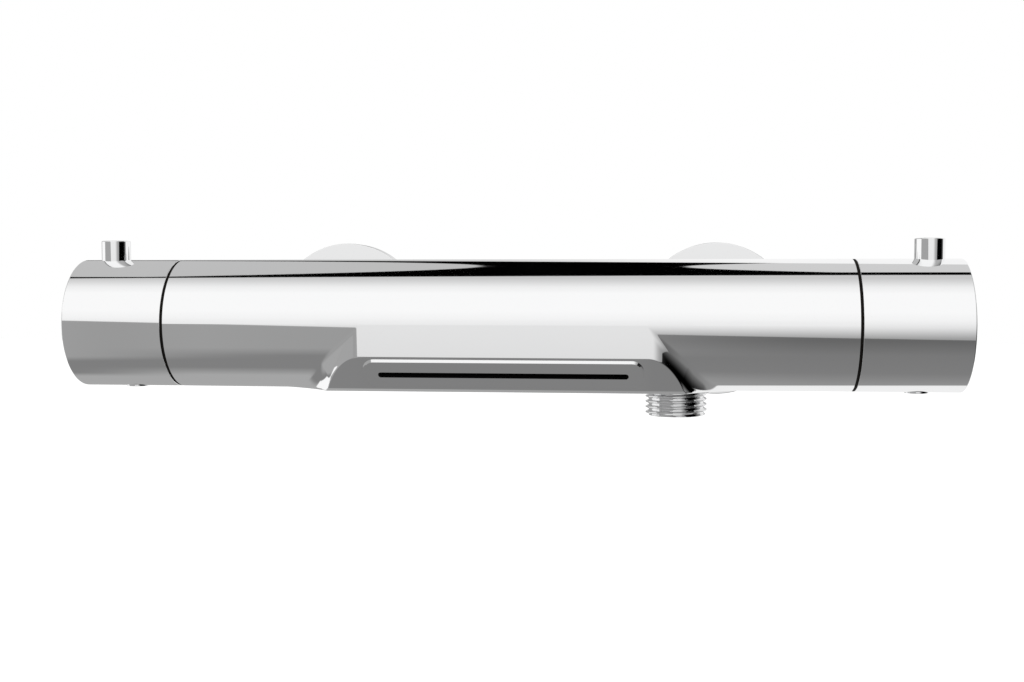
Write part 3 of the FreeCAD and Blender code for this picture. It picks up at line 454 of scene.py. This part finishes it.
def slab(width, height, corner, low, high, segments):
    """Round-cornered plate on XY between two heights."""
    bm = bmesh.new()
    bmesh.ops.create_grid(bm, x_segments=1, y_segments=1, size=0.5)
    bmesh.ops.scale(bm, vec=(width, height, 1), verts=bm.verts)
    bmesh.ops.translate(bm, vec=(0, 0, low), verts=bm.verts)
    bmesh.ops.bevel(bm, geom=bm.verts, offset=corner, offset_type="OFFSET", segments=segments,
                    profile=0.5, affect="VERTICES", material=-1)
    top = bmesh.ops.extrude_face_region(bm, geom=bm.faces[:])["geom"]
    bmesh.ops.translate(bm, vec=(0, 0, high - low), verts=new_points(top))
    weld(bm)
    return bm


def merged(*parts):
    """Several shells in one mesh."""
    bm = bmesh.new()
    for part in parts:
        mesh = bpy.data.meshes.new("part")
        part.to_mesh(mesh)
        part.free()
        bm.from_mesh(mesh)
        bpy.data.meshes.remove(mesh)
    return bm


def carved(bm, tool, operation):
    """One mesh joined with, cut by or kept inside another."""
    objects = []
    for source in (bm, tool):
        mesh = bpy.data.meshes.new("work")
        source.to_mesh(mesh)
        source.free()
        objects.append(bpy.data.objects.new("work", mesh))
        bpy.context.scene.collection.objects.link(objects[-1])
    modifier = objects[0].modifiers.new("carve", "BOOLEAN")
    modifier.operation = operation
    modifier.solver = "EXACT"
    modifier.object = objects[1]
    graph = bpy.context.evaluated_depsgraph_get()
    result = bpy.data.meshes.new_from_object(objects[0].evaluated_get(graph))
    out = bmesh.new()
    out.from_mesh(result)
    bpy.data.meshes.remove(result)
    for obj in objects:
        mesh = obj.data
        bpy.data.objects.remove(obj)
        bpy.data.meshes.remove(mesh)
    return out


def piece(bm, name, body, material, nodes):
    """A finished piece on its body, if it rides on one, in place of the nodes that it stands for."""
    weld(bm)
    bmesh.ops.transform(bm, matrix=PLACE, verts=bm.verts)
    for face in bm.faces:
        face.smooth = True
    mesh = bpy.data.meshes.new(name)
    bm.to_mesh(mesh)
    bm.free()
    mesh.set_sharp_from_angle(angle=SHARP)
    mesh.materials.append(material)
    obj = bpy.data.objects.new(name, mesh)
    bpy.context.scene.collection.objects.link(obj)
    weighted = obj.modifiers.new("even_shading", "WEIGHTED_NORMAL")
    weighted.keep_sharp = True
    if body:
        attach(obj, body)
    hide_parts(*nodes)
    return obj


# Spout and body

FACE_DOWN = (Vector((0, -LIP_OUT, -TUBE_R)) - Vector((0, -TUBE_R, -APRON))).normalized()
FACE_OUT = Vector((0, FACE_DOWN.z, -FACE_DOWN.y))
FACE_DISTANCE = FACE_OUT.dot(Vector((0, -TUBE_R, -APRON)))
FACE_ANGLE = math.atan2(-FACE_OUT.y, -FACE_OUT.z)
LIP_FACING = Vector((0, -math.sin(LIP_ANGLE), -math.cos(LIP_ANGLE)))
LIP_DISTANCE = LIP_FACING.dot(Vector((0, -LIP_OUT, -TUBE_R)) - FACE_DOWN * LIP_BAND)


def from_spout(x, front, down):
    """Distance from the skin of the tube and the chin that is blended into it, below 0 inside."""
    out = math.hypot(front, down)
    tube = out - TUBE_R
    aside = abs(x) - SPOUT_HALF
    ahead = front - TUBE_R + SPOUT_CORNER_R
    turn = min(max(math.atan2(aside, ahead), 0), SPOUT_CORNER_TURN)
    facing = math.cos(turn)
    side = aside * math.sin(turn) + ahead * facing - SPOUT_CORNER_R
    blend = SPOUT_BLEND * max(1 - front * facing / out, TINY)
    share = min(max((1 + (tube - side) / blend) / 2, 0), 1)
    skin = tube + (side - tube) * share - blend * share * (1 - share)
    under = down - TUBE_R - SPOUT_DROP * front / TUBE_R
    edge = SPOUT_EDGE * max(1 - (1 - share) * down / out, TINY)
    return max(skin, under) + max(edge - abs(skin - under), 0) ** 2 / edge / 4


def spout_radius(angle, x):
    """Distance of the body's skin from the axis, by angle from straight down towards the front."""
    if not 0 < angle < math.pi / 2 or abs(x) > SPOUT_HALF + SPOUT_REACH:
        return TUBE_R
    low, high = TUBE_R, TUBE_R * 1.5
    for _ in range(HALVINGS):
        skin = (low + high) / 2
        if from_spout(x, skin * math.sin(angle), skin * math.cos(angle)) < 0:
            low = skin
        else:
            high = skin
    face = min(FACE_DISTANCE / math.cos(angle - FACE_ANGLE),
               LIP_DISTANCE / math.cos(angle - LIP_ANGLE))
    meet = max(LIP_SOFT - abs(skin - face), 0) / LIP_SOFT
    return min(skin, face) - meet * meet * LIP_SOFT / 4


def spout_angles():
    """Angles round the body: close together over the spout, wide apart over the plain tube."""
    return [math.radians(a + (b - a) * i / n) for a, b, n in SPOUT_SPANS for i in range(n)]


def spout_stations():
    """Places along the tube where its section is drawn: close together where a spout corner turns."""
    flank = SPOUT_REACH - SPOUT_CORNER_R
    side = [SPOUT_HALF + SPOUT_CORNER_R * i / CORNER_STATIONS for i in range(CORNER_STATIONS)]
    side += [SPOUT_HALF + SPOUT_CORNER_R + flank * i / FLANK_STATIONS for i in range(FLANK_STATIONS + 1)]
    return [-x for x in reversed(side)] + side + [TUBE_END]


def body_form():
    """The tube with its spout, closed at both ends."""
    bm = bmesh.new()
    angles = spout_angles()
    ring = bmesh.ops.create_circle(bm, cap_ends=False, radius=TUBE_R, segments=len(angles))["verts"]
    for vert, angle in zip(ring, angles):
        vert.co = (-TUBE_END, -TUBE_R * math.sin(angle), -TUBE_R * math.cos(angle))
    edges = bm.edges[:]
    for x in spout_stations():
        made = bmesh.ops.extrude_edge_only(bm, edges=edges)["geom"]
        edges = new_edges(made)
        for vert in new_points(made):
            angle = math.atan2(-vert.co.y, -vert.co.z) % (2 * math.pi)
            radius = spout_radius(angle, x)
            vert.co = (x, -radius * math.sin(angle), -radius * math.cos(angle))
    bmesh.ops.holes_fill(bm, edges=[e for e in bm.edges if e.is_boundary], sides=0)
    weld(bm)
    return bm


def on_face(bm, middle):
    """Moves a plate from XY to the sloping outlet face, with its height along the face's normal."""
    matrix = Matrix((X, -FACE_DOWN, FACE_OUT)).transposed().to_4x4()
    matrix.translation = Vector((0, -TUBE_R, -APRON)) + FACE_DOWN * middle
    bmesh.ops.transform(bm, matrix=matrix, verts=bm.verts)
    bmesh.ops.recalc_face_normals(bm, faces=bm.faces)
    return bm


def body_shell():
    """The body with its bosses, bored for what it holds."""
    bosses = [bar(0, INLET_FACE, INLET_BOSS_R, Y, (s * INLET_X, 0, 0)) for s in (-1, 1)]
    bosses.append(bar(HOSE_BOSS, HOSE_BOSS_ROOT, HOSE_BOSS_R, Z, (HOSE_X, 0, 0)))
    bores = [on_face(slab(INSERT_WIDTH + 2 * POCKET_PLAY, INSERT_HEIGHT + 2 * POCKET_PLAY,
                          INSERT_CORNER + POCKET_PLAY, -POCKET_DEPTH, 3 * CLEAR, 14), INSERT_MIDDLE)]
    for s, depth in ((-1, THERMOSTAT_DEPTH), (1, DIVERTER_DEPTH)):
        floor, step, out = (s * (TUBE_END + a) for a in (-depth, -CHAMBER_MOUTH, CLEAR))
        bores.append(spun([(floor, 0), (floor, CHAMBER_R), (step, CHAMBER_R), (step, CHAMBER_MOUTH_R),
                           (out, CHAMBER_MOUTH_R), (out, 0)], X))
        bores.append(bar(NIPPLE_FOOT, INLET_FACE + CLEAR, NIPPLE_SEAT_R, Y, (s * INLET_X, 0, 0)))
    bores.append(bar(HOSE_BOSS - 2 * CLEAR, HOSE_FOOT, HOSE_SEAT_R, Z, (HOSE_X, 0, 0)))
    return carved(carved(body_form(), merged(*bosses), "UNION"), merged(*bores), "DIFFERENCE")


def waterfall_plate():
    """Slotted plate that stands proud along its top edge and runs out flush with the face below it."""
    plate = slab(INSERT_WIDTH, INSERT_HEIGHT, INSERT_CORNER, -INSERT_THICKNESS, INSERT_PROUD, 14)
    rounded(plate, lambda p: abs(p.z - INSERT_PROUD) < NEAR, INSERT_PROUD - 2 * NEAR, 1)
    top = INSERT_HEIGHT / 2
    bmesh.ops.bisect_plane(plate, geom=everything(plate), dist=TINY,
                           plane_co=(0, top - INSERT_RUN, 0), plane_no=(0, 1, 0))
    for vert in plate.verts:
        if vert.co.z > 0:
            vert.co.z *= max(1 - (top - vert.co.y) / INSERT_RUN, 0)
    for height, drop, end in ((SLOT_HEIGHT, SLOT_DROP, -SLOT_MOUTH_DEPTH),
                              (SLOT_MOUTH, SLOT_MOUTH_DROP, 3 * CLEAR)):
        slot = slab(SLOT_WIDTH, height, height * SLOT_END, -INSERT_THICKNESS - CLEAR, end, 8)
        bmesh.ops.translate(slot, vec=(0, -drop, 0), verts=slot.verts)
        plate = carved(plate, slot, "DIFFERENCE")
    return on_face(plate, INSERT_MIDDLE)


piece(body_shell(), "body_shell", "mixer", PLATING, ["mixer_body"])
piece(waterfall_plate(), "waterfall_plate", "mixer", PLATING, ["waterfall_insert"])


# Threads and springs

def threaded(radius, low, high, bore, chamfers=(0.0, 0.0), steps=72):
    """Helical thread along Z from low to high, with a bore through it."""
    bm = bmesh.new()
    root = radius - PIPE_DEPTH
    turns = math.ceil((high - low) / PIPE_PITCH) + 2
    eased = radius - CREST_EASE
    outline = [(0, root), (0.12, root), (0.42, eased), (0.5, radius), (0.62, radius), (0.70, eased),
               (1, root)]
    start = low - PIPE_PITCH * 1.5
    points = [bm.verts.new((r, 0, start + a * PIPE_PITCH)) for a, r in outline]
    edges = [bm.edges.new(pair) for pair in zip(points, points[1:])]
    bmesh.ops.spin(bm, geom=points + edges, cent=(0, 0, 0), axis=Z, dvec=(0, 0, PIPE_PITCH / steps),
                   angle=2 * math.pi * turns, steps=steps * turns, use_merge=False,
                   use_duplicate=False)
    bmesh.ops.remove_doubles(bm, verts=bm.verts, dist=2 * HAIR)
    for height, sign, chamfer in ((low, -1, chamfers[0]), (high, 1, chamfers[1])):
        if chamfer:
            bmesh.ops.bisect_plane(bm, geom=everything(bm), dist=TINY,
                                   plane_co=(0, 0, height - sign * chamfer), plane_no=(0, 0, sign))
        bmesh.ops.bisect_plane(bm, geom=everything(bm), dist=TINY,
                               plane_co=(0, 0, height), plane_no=(0, 0, sign), clear_outer=True)
        for vert in bm.verts:
            limit = radius - chamfer + abs(height - vert.co.z)
            out = math.hypot(vert.co.x, vert.co.y)
            if chamfer and out > limit:
                vert.co.x *= limit / out
                vert.co.y *= limit / out
    loops = []
    for height in (low, high):
        rim = [e for e in bm.edges
               if e.is_boundary and all(abs(v.co.z - height) < HAIR for v in e.verts)]
        made = bmesh.ops.extrude_edge_only(bm, edges=rim)["geom"]
        for vert in new_points(made):
            out = math.hypot(vert.co.x, vert.co.y)
            vert.co.x *= bore / out
            vert.co.y *= bore / out
        loops += new_edges(made)
    bmesh.ops.bridge_loops(bm, edges=loops)
    weld(bm)
    return bm


def turned_to(bm, direction, centre):
    """Moves a piece drawn along Z to another axis."""
    matrix = Z.rotation_difference(direction).to_matrix().to_4x4()
    matrix.translation = centre
    bmesh.ops.transform(bm, matrix=matrix, verts=bm.verts)
    return bm


def coil(radius, wire, length, turns, steps=32):
    """Spring wire wound along Z from the origin."""
    bm = bmesh.new()
    start = Matrix.Translation((radius, 0, wire)) @ Matrix.Rotation(math.pi / 2, 4, "X")
    bmesh.ops.create_circle(bm, cap_ends=False, radius=wire, segments=10, matrix=start)
    climb = (length - 2 * wire) / (steps * turns)
    bmesh.ops.spin(bm, geom=bm.verts[:] + bm.edges[:], cent=(0, 0, 0), axis=Z, dvec=(0, 0, climb),
                   angle=2 * math.pi * turns, steps=steps * turns, use_merge=False,
                   use_duplicate=False)
    bmesh.ops.holes_fill(bm, edges=[e for e in bm.edges if e.is_boundary], sides=0)
    weld(bm)
    return bm


def spring(name, node, foot, along, radius, wire, turns):
    """Coil spring wound from a foot along a given length, in place of its node."""
    foot, along = Vector(foot), Vector(along)
    wound = turned_to(coil(radius, wire, along.length, turns), along.normalized(), foot)
    obj = piece(wound, name, None, STEEL, [node])
    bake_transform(obj)


def hose_thread():
    """Threaded hose outlet with a plain neck above the thread and a foot in the body."""
    thread = threaded(PIPE_R, HOSE_END, HOSE_NECK, HOSE_BORE_R, (HOSE_CHAMFER, 0.0))
    neck = spun([(HOSE_NECK, HOSE_BORE_R), (HOSE_NECK, HOSE_NECK_R), (HOSE_BOSS, HOSE_NECK_R),
                 (HOSE_BOSS, HOSE_FOOT_R), (HOSE_FOOT, HOSE_FOOT_R), (HOSE_FOOT, HOSE_BORE_R)], Z,
                steps=72, closed=True)
    return turned_to(merged(thread, neck), Z, (HOSE_X, 0, 0))


piece(hose_thread(), "hose_thread", "mixer", THREAD_PLATING, ["hose_nipple"])


# Handles, lever pins and buttons

def handle_cap(side, pin, button):
    """Hollow round cap with holes for its lever pin and its button."""
    start, floor, end = (side * (TUBE_END + a) for a in (HANDLE_START, HANDLE_FLOOR, HANDLE_END))
    cap = spun([(start, HANDLE_BORE_R), (start, TUBE_R), (end, TUBE_R), (end, 0), (floor, 0),
                (floor, HANDLE_BORE_R)], X, steps=192, closed=True)
    rounded(cap, at_ring(X, (0, 0, 0), end, TUBE_R), HANDLE_EDGE, 6)
    rounded(cap, at_ring(X, (0, 0, 0), start, TUBE_R), HANDLE_RIM, 3)
    holes = merged(bar(-HOLE_END, -HOLE_START, BUTTON_HOLE_R, Z, button, 64),
                   bar(HOLE_START, HOLE_END, PIN_HOLE_R, Z, pin, 48))
    return carved(cap, holes, "DIFFERENCE")


def lever_pin(centre):
    """Round pin on a thinner stem."""
    pin = spun([(PIN_FOOT, 0), (PIN_FOOT, PIN_STEM_R), (PIN_SHOULDER, PIN_STEM_R), (PIN_SHOULDER, PIN_R),
                (PIN_TOP, PIN_R), (PIN_TOP, 0)], Z, centre)
    return rounded(pin, at_ring(Z, centre, PIN_TOP, PIN_R), PIN_EDGE, 4)


def button_stud(centre):
    """Round button with a flange that keeps it in the handle."""
    stud = spun([(BUTTON_FACE, 0), (BUTTON_FACE, BUTTON_R), (BUTTON_FLANGE, BUTTON_R),
                 (BUTTON_FLANGE, BUTTON_FLANGE_R), (BUTTON_BACK, BUTTON_FLANGE_R), (BUTTON_BACK, 0)], Z,
                centre)
    return rounded(stud, at_ring(Z, centre, BUTTON_FACE, BUTTON_R), BUTTON_EDGE, 4)


def glide_ring(side):
    """Ring in the gap between body and handle, with a neck that reaches into the handle."""
    start, step, end = (side * (TUBE_END + a) for a in (0, GLIDE_THICKNESS, GLIDE_NECK_END))
    inner = GLIDE_NECK_R - GLIDE_NECK_WALL
    return spun([(start, GLIDE_R), (step, GLIDE_R), (step, GLIDE_NECK_R), (end, GLIDE_NECK_R),
                 (end, inner), (start, inner)], X, steps=160, closed=True)


def end_pieces(side, name, button, button_out):
    """What sits on one end of the tube: handle, lever pin, button with its spring, and glide ring."""
    ride = name + "_handle"
    pin_x = side * (TUBE_END + PIN_OUT)
    button_x = side * (TUBE_END + button_out)
    cap = handle_cap(side, (pin_x, 0, 0), (button_x, 0, 0))
    piece(cap, name + "_cap", ride, PLATING, [name + "_handle"])
    piece(lever_pin((pin_x, 0, 0)), name + "_pin", ride, PLATING, [name + "_lever_pin"])
    stud = button_stud((button_x, 0, 0))
    piece(stud, button + "_stud", button + "_button", PLATING, [button + "_button"])
    spring(button + "_coil", button + "_button_spring", (button_x, 0, BUTTON_BACK + BUTTON_SPRING),
           (0, 0, -BUTTON_SPRING), BUTTON_COIL_R, BUTTON_WIRE_R, BUTTON_TURNS)
    piece(glide_ring(side), name + "_glide", "mixer", RING_BLACK, [name + "_glide_ring"])


end_pieces(-1, "temperature", "safety", SAFETY_BUTTON_OUT)
end_pieces(1, "flow", "eco", ECO_BUTTON_OUT)
spring("return_coil", "return_spring", (RETURN_SPRING_FOOT, 0, 0), (-RETURN_SPRING, 0, 0), RETURN_COIL_R,
       RETURN_WIRE_R, RETURN_TURNS)


# Inlets

def hexagon(start, end, flats):
    """Six-sided bar along Z."""
    bm = bmesh.new()
    bmesh.ops.create_circle(
        bm, cap_ends=True, radius=flats / math.sqrt(3), segments=6,
        matrix=Matrix.Translation((0, 0, start)) @ Matrix.Rotation(math.radians(30), 4, "Z"))
    top = bmesh.ops.extrude_face_region(bm, geom=bm.faces[:])["geom"]
    bmesh.ops.translate(bm, vec=(0, 0, end - start), verts=new_points(top))
    weld(bm)
    return bm


def chamfered_hexagon(start, end, flats, bore):
    """Hexagon with turned chamfers on its corners and a hole through it."""
    corner = flats / math.sqrt(3)
    ease = (corner - flats / 2) / 2
    turned = spun([(start, 0), (start, corner - ease), (start + ease, corner), (end - ease, corner),
                   (end, corner - ease), (end, 0)], Z)
    hole = bar(start - CLEAR, end + CLEAR, bore, Z, steps=72)
    return carved(carved(hexagon(start, end, flats), turned, "INTERSECT"), hole, "DIFFERENCE")


def inlet_nipple():
    """Tube from the body to the wall union, with a hexagon to screw it in and a collar for the nut."""
    tube = spun([(NIPPLE_FOOT, NIPPLE_WATER_R), (NIPPLE_FOOT, NIPPLE_FOOT_R), (INLET_FACE, NIPPLE_FOOT_R),
                 (INLET_FACE, NIPPLE_R), (NIPPLE_COLLAR, NIPPLE_R), (NIPPLE_COLLAR, NIPPLE_COLLAR_R),
                 (NIPPLE_MOUTH, NIPPLE_COLLAR_R), (NIPPLE_MOUTH, VALVE_BORE_R),
                 (VALVE_SEAT, VALVE_BORE_R), (VALVE_SEAT, NIPPLE_WATER_R)], Z, closed=True)
    return merged(tube, chamfered_hexagon(INLET_FACE, NIPPLE_HEX_END, NIPPLE_FLATS, NIPPLE_R))


def union_nut():
    """Hexagon nut that pulls the nipple's collar to the wall union."""
    seat = bar(NIPPLE_COLLAR, NUT_END + CLEAR, NUT_SEAT_R, Z, steps=72)
    return carved(chamfered_hexagon(NUT_START, NUT_END, NUT_FLATS, NUT_HOLE_R), seat, "DIFFERENCE")


def s_connector():
    """Union thread, and the wall stud that stands lower than it."""
    union = threaded(UNION_R, UNION_START, UNION_END, UNION_BORE_R, (STUD_CHAMFER, 0.0))
    crank = bar(UNION_END, CRANK_END, UNION_R, Z)
    neck = spun([(UNION_END, STUD_BORE_R), (UNION_END, STUD_NECK_R), (WALL, STUD_NECK_R),
                 (WALL, STUD_BORE_R)], Z, closed=True)
    stud = threaded(PIPE_R, WALL, STUD_END, STUD_BORE_R, (0.0, STUD_CHAMFER))
    for low_part in (neck, stud):
        bmesh.ops.translate(low_part, vec=(0, STUD_DROP, 0), verts=low_part.verts)
    return merged(union, crank, neck, stud)


def rosette(centre):
    """Hollow round cover that lies against the wall."""
    back = ROSE_FACE + ROSE_WALL
    rose = spun([(ROSE_FACE, ROSE_HOLE_R), (ROSE_FACE, ROSE_R), (WALL, ROSE_R), (WALL, ROSE_HOLLOW_R),
                 (back, ROSE_HOLLOW_R), (back, ROSE_HOLE_R)], Y, centre, 160, closed=True)
    return rounded(rose, at_ring(Y, centre, ROSE_FACE, ROSE_R), ROSE_EDGE, 5)


def inlet_pieces(x, name):
    """What stands between the body and the wall on one side."""
    for form, suffix, finish, slot, node in (
            (inlet_nipple(), "_nipple", PLATING, "chrome", "_inlet_nipple"),
            (union_nut(), "_nut", PLATING, "chrome", "_union_nut"),
            (s_connector(), "_connector", BRASS, "brass", "_s_connector")):
        piece(turned_to(form, Y, (x, 0, 0)), name + suffix, "mixer", finish, [name + node])
    piece(rosette((x, 0, 0)), name + "_rose", "mixer", PLATING, [name + "_rosette"])
    spring(name + "_check_coil", name + "_check_spring", (x, CHECK_SPRING_FOOT, 0), (0, CHECK_SPRING, 0),
           CHECK_COIL_R, CHECK_WIRE_R, CHECK_TURNS)


inlet_pieces(-INLET_X, "hot")
inlet_pieces(INLET_X, "cold")


# Finishes of the pieces that stay as they were made

for part in frame["record"]["subparts"]:
    node = frame["nodes"][part["node"]]
    node.data.materials.clear()
    # The waterfall gasket gets the near-black rubber in place of its slot's finish, which paints the shade
    # inside the slot.
    gasket_in_shade = part["node"] == "waterfall_gasket"
    node.data.materials.append(SLOT_RUBBER_AND_SHADE if gasket_in_shade else SLOT_FINISH[part["material_slot"]])


# Studio

# The plating shows what stands round it, so the world has a grey level for each direction that it mirrors.
# x, y and z are the direction, and roll is its angle about the tube's axis in degrees: 0 is straight ahead
# of the tap, 90 overhead, 180 behind and -90 below. Lengths here are in metres.
PALE_LIGHT = 0.8
FLOOR_HALF = 6.0
FLOOR_HEIGHT = -0.3
FLOOR_GLOW = 0.4
LAMP_PLACE = (-0.3, -0.7, 1.4)
LAMP_SIZE = 1.2
LAMP_POWER = 6.0
LENS = 44.58
FILM = 36.0
EYE = (0.05034, -0.52123, 0.02317)
EYE_DOWN = math.radians(2.736)
EYE_TURN = math.radians(6.38)


def by_roll(at, roll, first, span, stops):
    """Grey level by roll, from stops on a scale that starts at first and is span long."""
    return at.node("ShaderNodeValToRGB", {"stops": stops}, Fac=(roll - first) / span)


def ground(at, x, y, roll):
    """Grey below the tap: lighter on the left, with a dark patch under the spout's left half."""
    left = by_roll(at, roll, -180, 360, [(0.0, 0.396), (1.0, 0.345), (0.205, 0.396), (0.262, 0.226),
                                         (0.34, 0.226), (0.38, 0.335)])
    right = by_roll(at, roll, -180, 360, [(0.0, 0.30), (1.0, 0.14), (0.17, 0.29), (0.255, 0.215),
                                          (0.36, 0.20), (0.43, 0.14)])
    tone = left.mix(right, x.rise(-0.2, 0.15))
    patch = x.rise(-0.231, -0.227) * (1 - x.rise(-0.01, 0.0)) * roll.rise(-90.0, -86.0)
    tone = tone.mix(0.222, patch)
    far_left = 0.396 - 0.174 * roll.rise(-117.0, -102.0)
    tone = tone.mix(far_left, (-x).rise(0.34, 0.44))
    bend = y + 0.02 + 0.9 * (1 + x) * (1 + x)
    return tone.mix(0.385, (-x).rise(0.25, 0.52) * (1 - bend.rise(-0.12, 0.08)))


def front_panel(at, x, roll):
    """Tall bright panel ahead of the tap, softer at its foot and top, and dimmer to the right."""
    panel = by_roll(at, roll, -20, 110, [
        (0.0, 0.37), (1.0, 0.60), (0.05, 0.5), (0.16, 0.80), (0.22, 0.89), (0.28, 0.95), (0.40, 1.0),
        (0.70, 1.0), (0.82, 0.9), (0.93, 0.70)])
    return panel * (1 - 0.55 * x.rise(0.22, 0.6))


def ceiling(x, roll):
    """Grey above and behind the tap, with a black gap between two lamps that bulge into it."""
    beyond = (roll - 143 + 55 * x).rise(-1.0, 1.0)
    near = 0.53 + 0.11 * x.rise(-0.1, 0.05)
    far = 0.5 + 0.45 * x.rise(-0.3, 0.1)
    left_bulge = -0.135 - x - (roll - 126.7) * (roll - 126.7) / 4489
    left_lamp = left_bulge.rise(-0.004, 0.004) * roll.rise(93.0, 94.0)
    right_bulge = x - 0.025 - (roll - 123.5) * (roll - 123.5) / 3000
    right_lamp = right_bulge.rise(-0.004, 0.004) * roll.rise(104.6, 105.4)
    gap = (1 - beyond) * (1 - left_lamp) * (1 - right_lamp)
    return near.mix(far, beyond).mix(0.0, gap)


def surroundings(at, x, y, z):
    """Grey level that the plating mirrors in a direction."""
    roll = at.math("ARCTAN2", z, -y) * (180 / math.pi)
    turn = at.math("ARCTAN2", x, -y) * (180 / math.pi)
    panel_foot = roll + 15 + 37 * x - 20 * x * x
    panel_top = roll - 96.3 - 10 * x + 12 * x * x
    light = ground(at, x, y, roll).mix(front_panel(at, x, roll),
                                       panel_foot.rise(-0.7, 0.7) * roll.rise(-60.0, -58.0))
    over = panel_top.rise(-0.7, 0.7)
    light = light.mix(ceiling(x, roll), over)
    # White beside the tap on the left, which edges the lever pins.
    light = light.mix(1.0, y.rise(0.10, 0.14) * (-x).rise(0.79, 0.83) * (1 - over))
    # Black flag low on the right, less dark towards the left and towards the wall.
    flag = (1 - (z - 1.138 * x + 0.766).rise(-0.015, 0.015)) * x.rise(0.22, 0.42)
    flag = flag * (1 - y.rise(0.16, 0.30))
    flag_left = 0.18 * (1 - (x + 0.3 * z).rise(-0.15, 0.80))
    flag_wall = 0.14 * y.rise(-0.1, 0.16) * z.rise(-0.26, -0.14)
    light = light.mix(flag_left + flag_wall, flag)
    # Light strip on the ground behind the tap.
    strip = (1 - (roll + 133 - 48 * x).rise(-2.0, 2.0)) * x.rise(-0.2, -0.1) * (1 - x.rise(0.8, 0.88))
    light = light.mix(0.9, strip)
    # Grey screen ahead on the left, at the tap's height.
    screen = (1 - turn.rise(-31.0, -29.0)) * turn.rise(-76.0, -74.0) * (1 - abs(z).rise(0.2, 0.3))
    light = light.mix(0.375, screen)
    # White at the far left, at the tap's height.
    edge_on = (-x).rise(0.80, 0.85) * y.rise(-0.26, -0.22) * (1 - abs(z).rise(0.15, 0.2))
    return light.mix(1.0, edge_on)


def studio():
    """World that is white to the eye, pale to matt surfaces and full of panels to the plating."""
    world = bpy.data.worlds.new("studio")
    bpy.context.scene.world = world
    world.use_nodes = True
    tree = world.node_tree
    back = tree.nodes["Background"]
    at = Socket(tree, back.outputs[0])
    look = at.node("ShaderNodeTexCoord", output=0)
    x, y, z = (at.node("ShaderNodeSeparateXYZ", Vector=look, output=i) for i in range(3))
    camera_ray = at.node("ShaderNodeLightPath", output=0)
    glossy_ray = at.node("ShaderNodeLightPath", output=3)
    shown = camera_ray + PALE_LIGHT * (1 - camera_ray - glossy_ray)
    link(tree, shown + surroundings(at, x, y, z) * glossy_ray, back, "Color")


def pale_floor():
    """Floor that keeps the shadow and doesn't show in the plating."""
    bm = bmesh.new()
    bmesh.ops.create_grid(bm, x_segments=1, y_segments=1, size=FLOOR_HALF)
    bmesh.ops.translate(bm, vec=(0, 0, FLOOR_HEIGHT), verts=bm.verts)
    mesh = bpy.data.meshes.new("floor")
    bm.to_mesh(mesh)
    bm.free()
    obj = bpy.data.objects.new("floor", mesh)
    obj.visible_glossy = False
    bpy.context.scene.collection.objects.link(obj)
    material, tree, shader, at = new_material("pale_floor")
    shader.inputs["Base Color"].default_value = (0.9, 0.9, 0.9, 1)
    shader.inputs["Roughness"].default_value = 0.9
    shader.inputs["Emission Strength"].default_value = 1.0
    camera_ray = at.node("ShaderNodeLightPath", output=0)
    link(tree, camera_ray * FLOOR_GLOW, shader, "Emission Color")
    mesh.materials.append(material)


def overhead_lamp():
    """Soft lamp that points at the tap."""
    data = bpy.data.lights.new("overhead", "AREA")
    data.energy = LAMP_POWER
    data.size = LAMP_SIZE
    obj = bpy.data.objects.new("overhead", data)
    obj.location = LAMP_PLACE
    obj.rotation_euler = (-Vector(LAMP_PLACE)).to_track_quat("-Z", "Y").to_euler()
    obj.visible_glossy = False
    bpy.context.scene.collection.objects.link(obj)


def eye():
    """Camera, fitted to the outlines of tube, rosettes, pins and hose thread."""
    data = bpy.data.cameras.new("camera")
    data.lens = LENS
    data.sensor_width = FILM
    data.sensor_fit = "HORIZONTAL"
    data.clip_start = 0.01
    obj = bpy.data.objects.new("camera", data)
    obj.location = EYE
    obj.rotation_euler = (math.pi / 2 - EYE_DOWN, 0, EYE_TURN)
    bpy.context.scene.collection.objects.link(obj)
    bpy.context.scene.camera = obj


studio()
pale_floor()
overhead_lamp()
eye()
bpy.context.scene.view_settings.view_transform = "Standard"
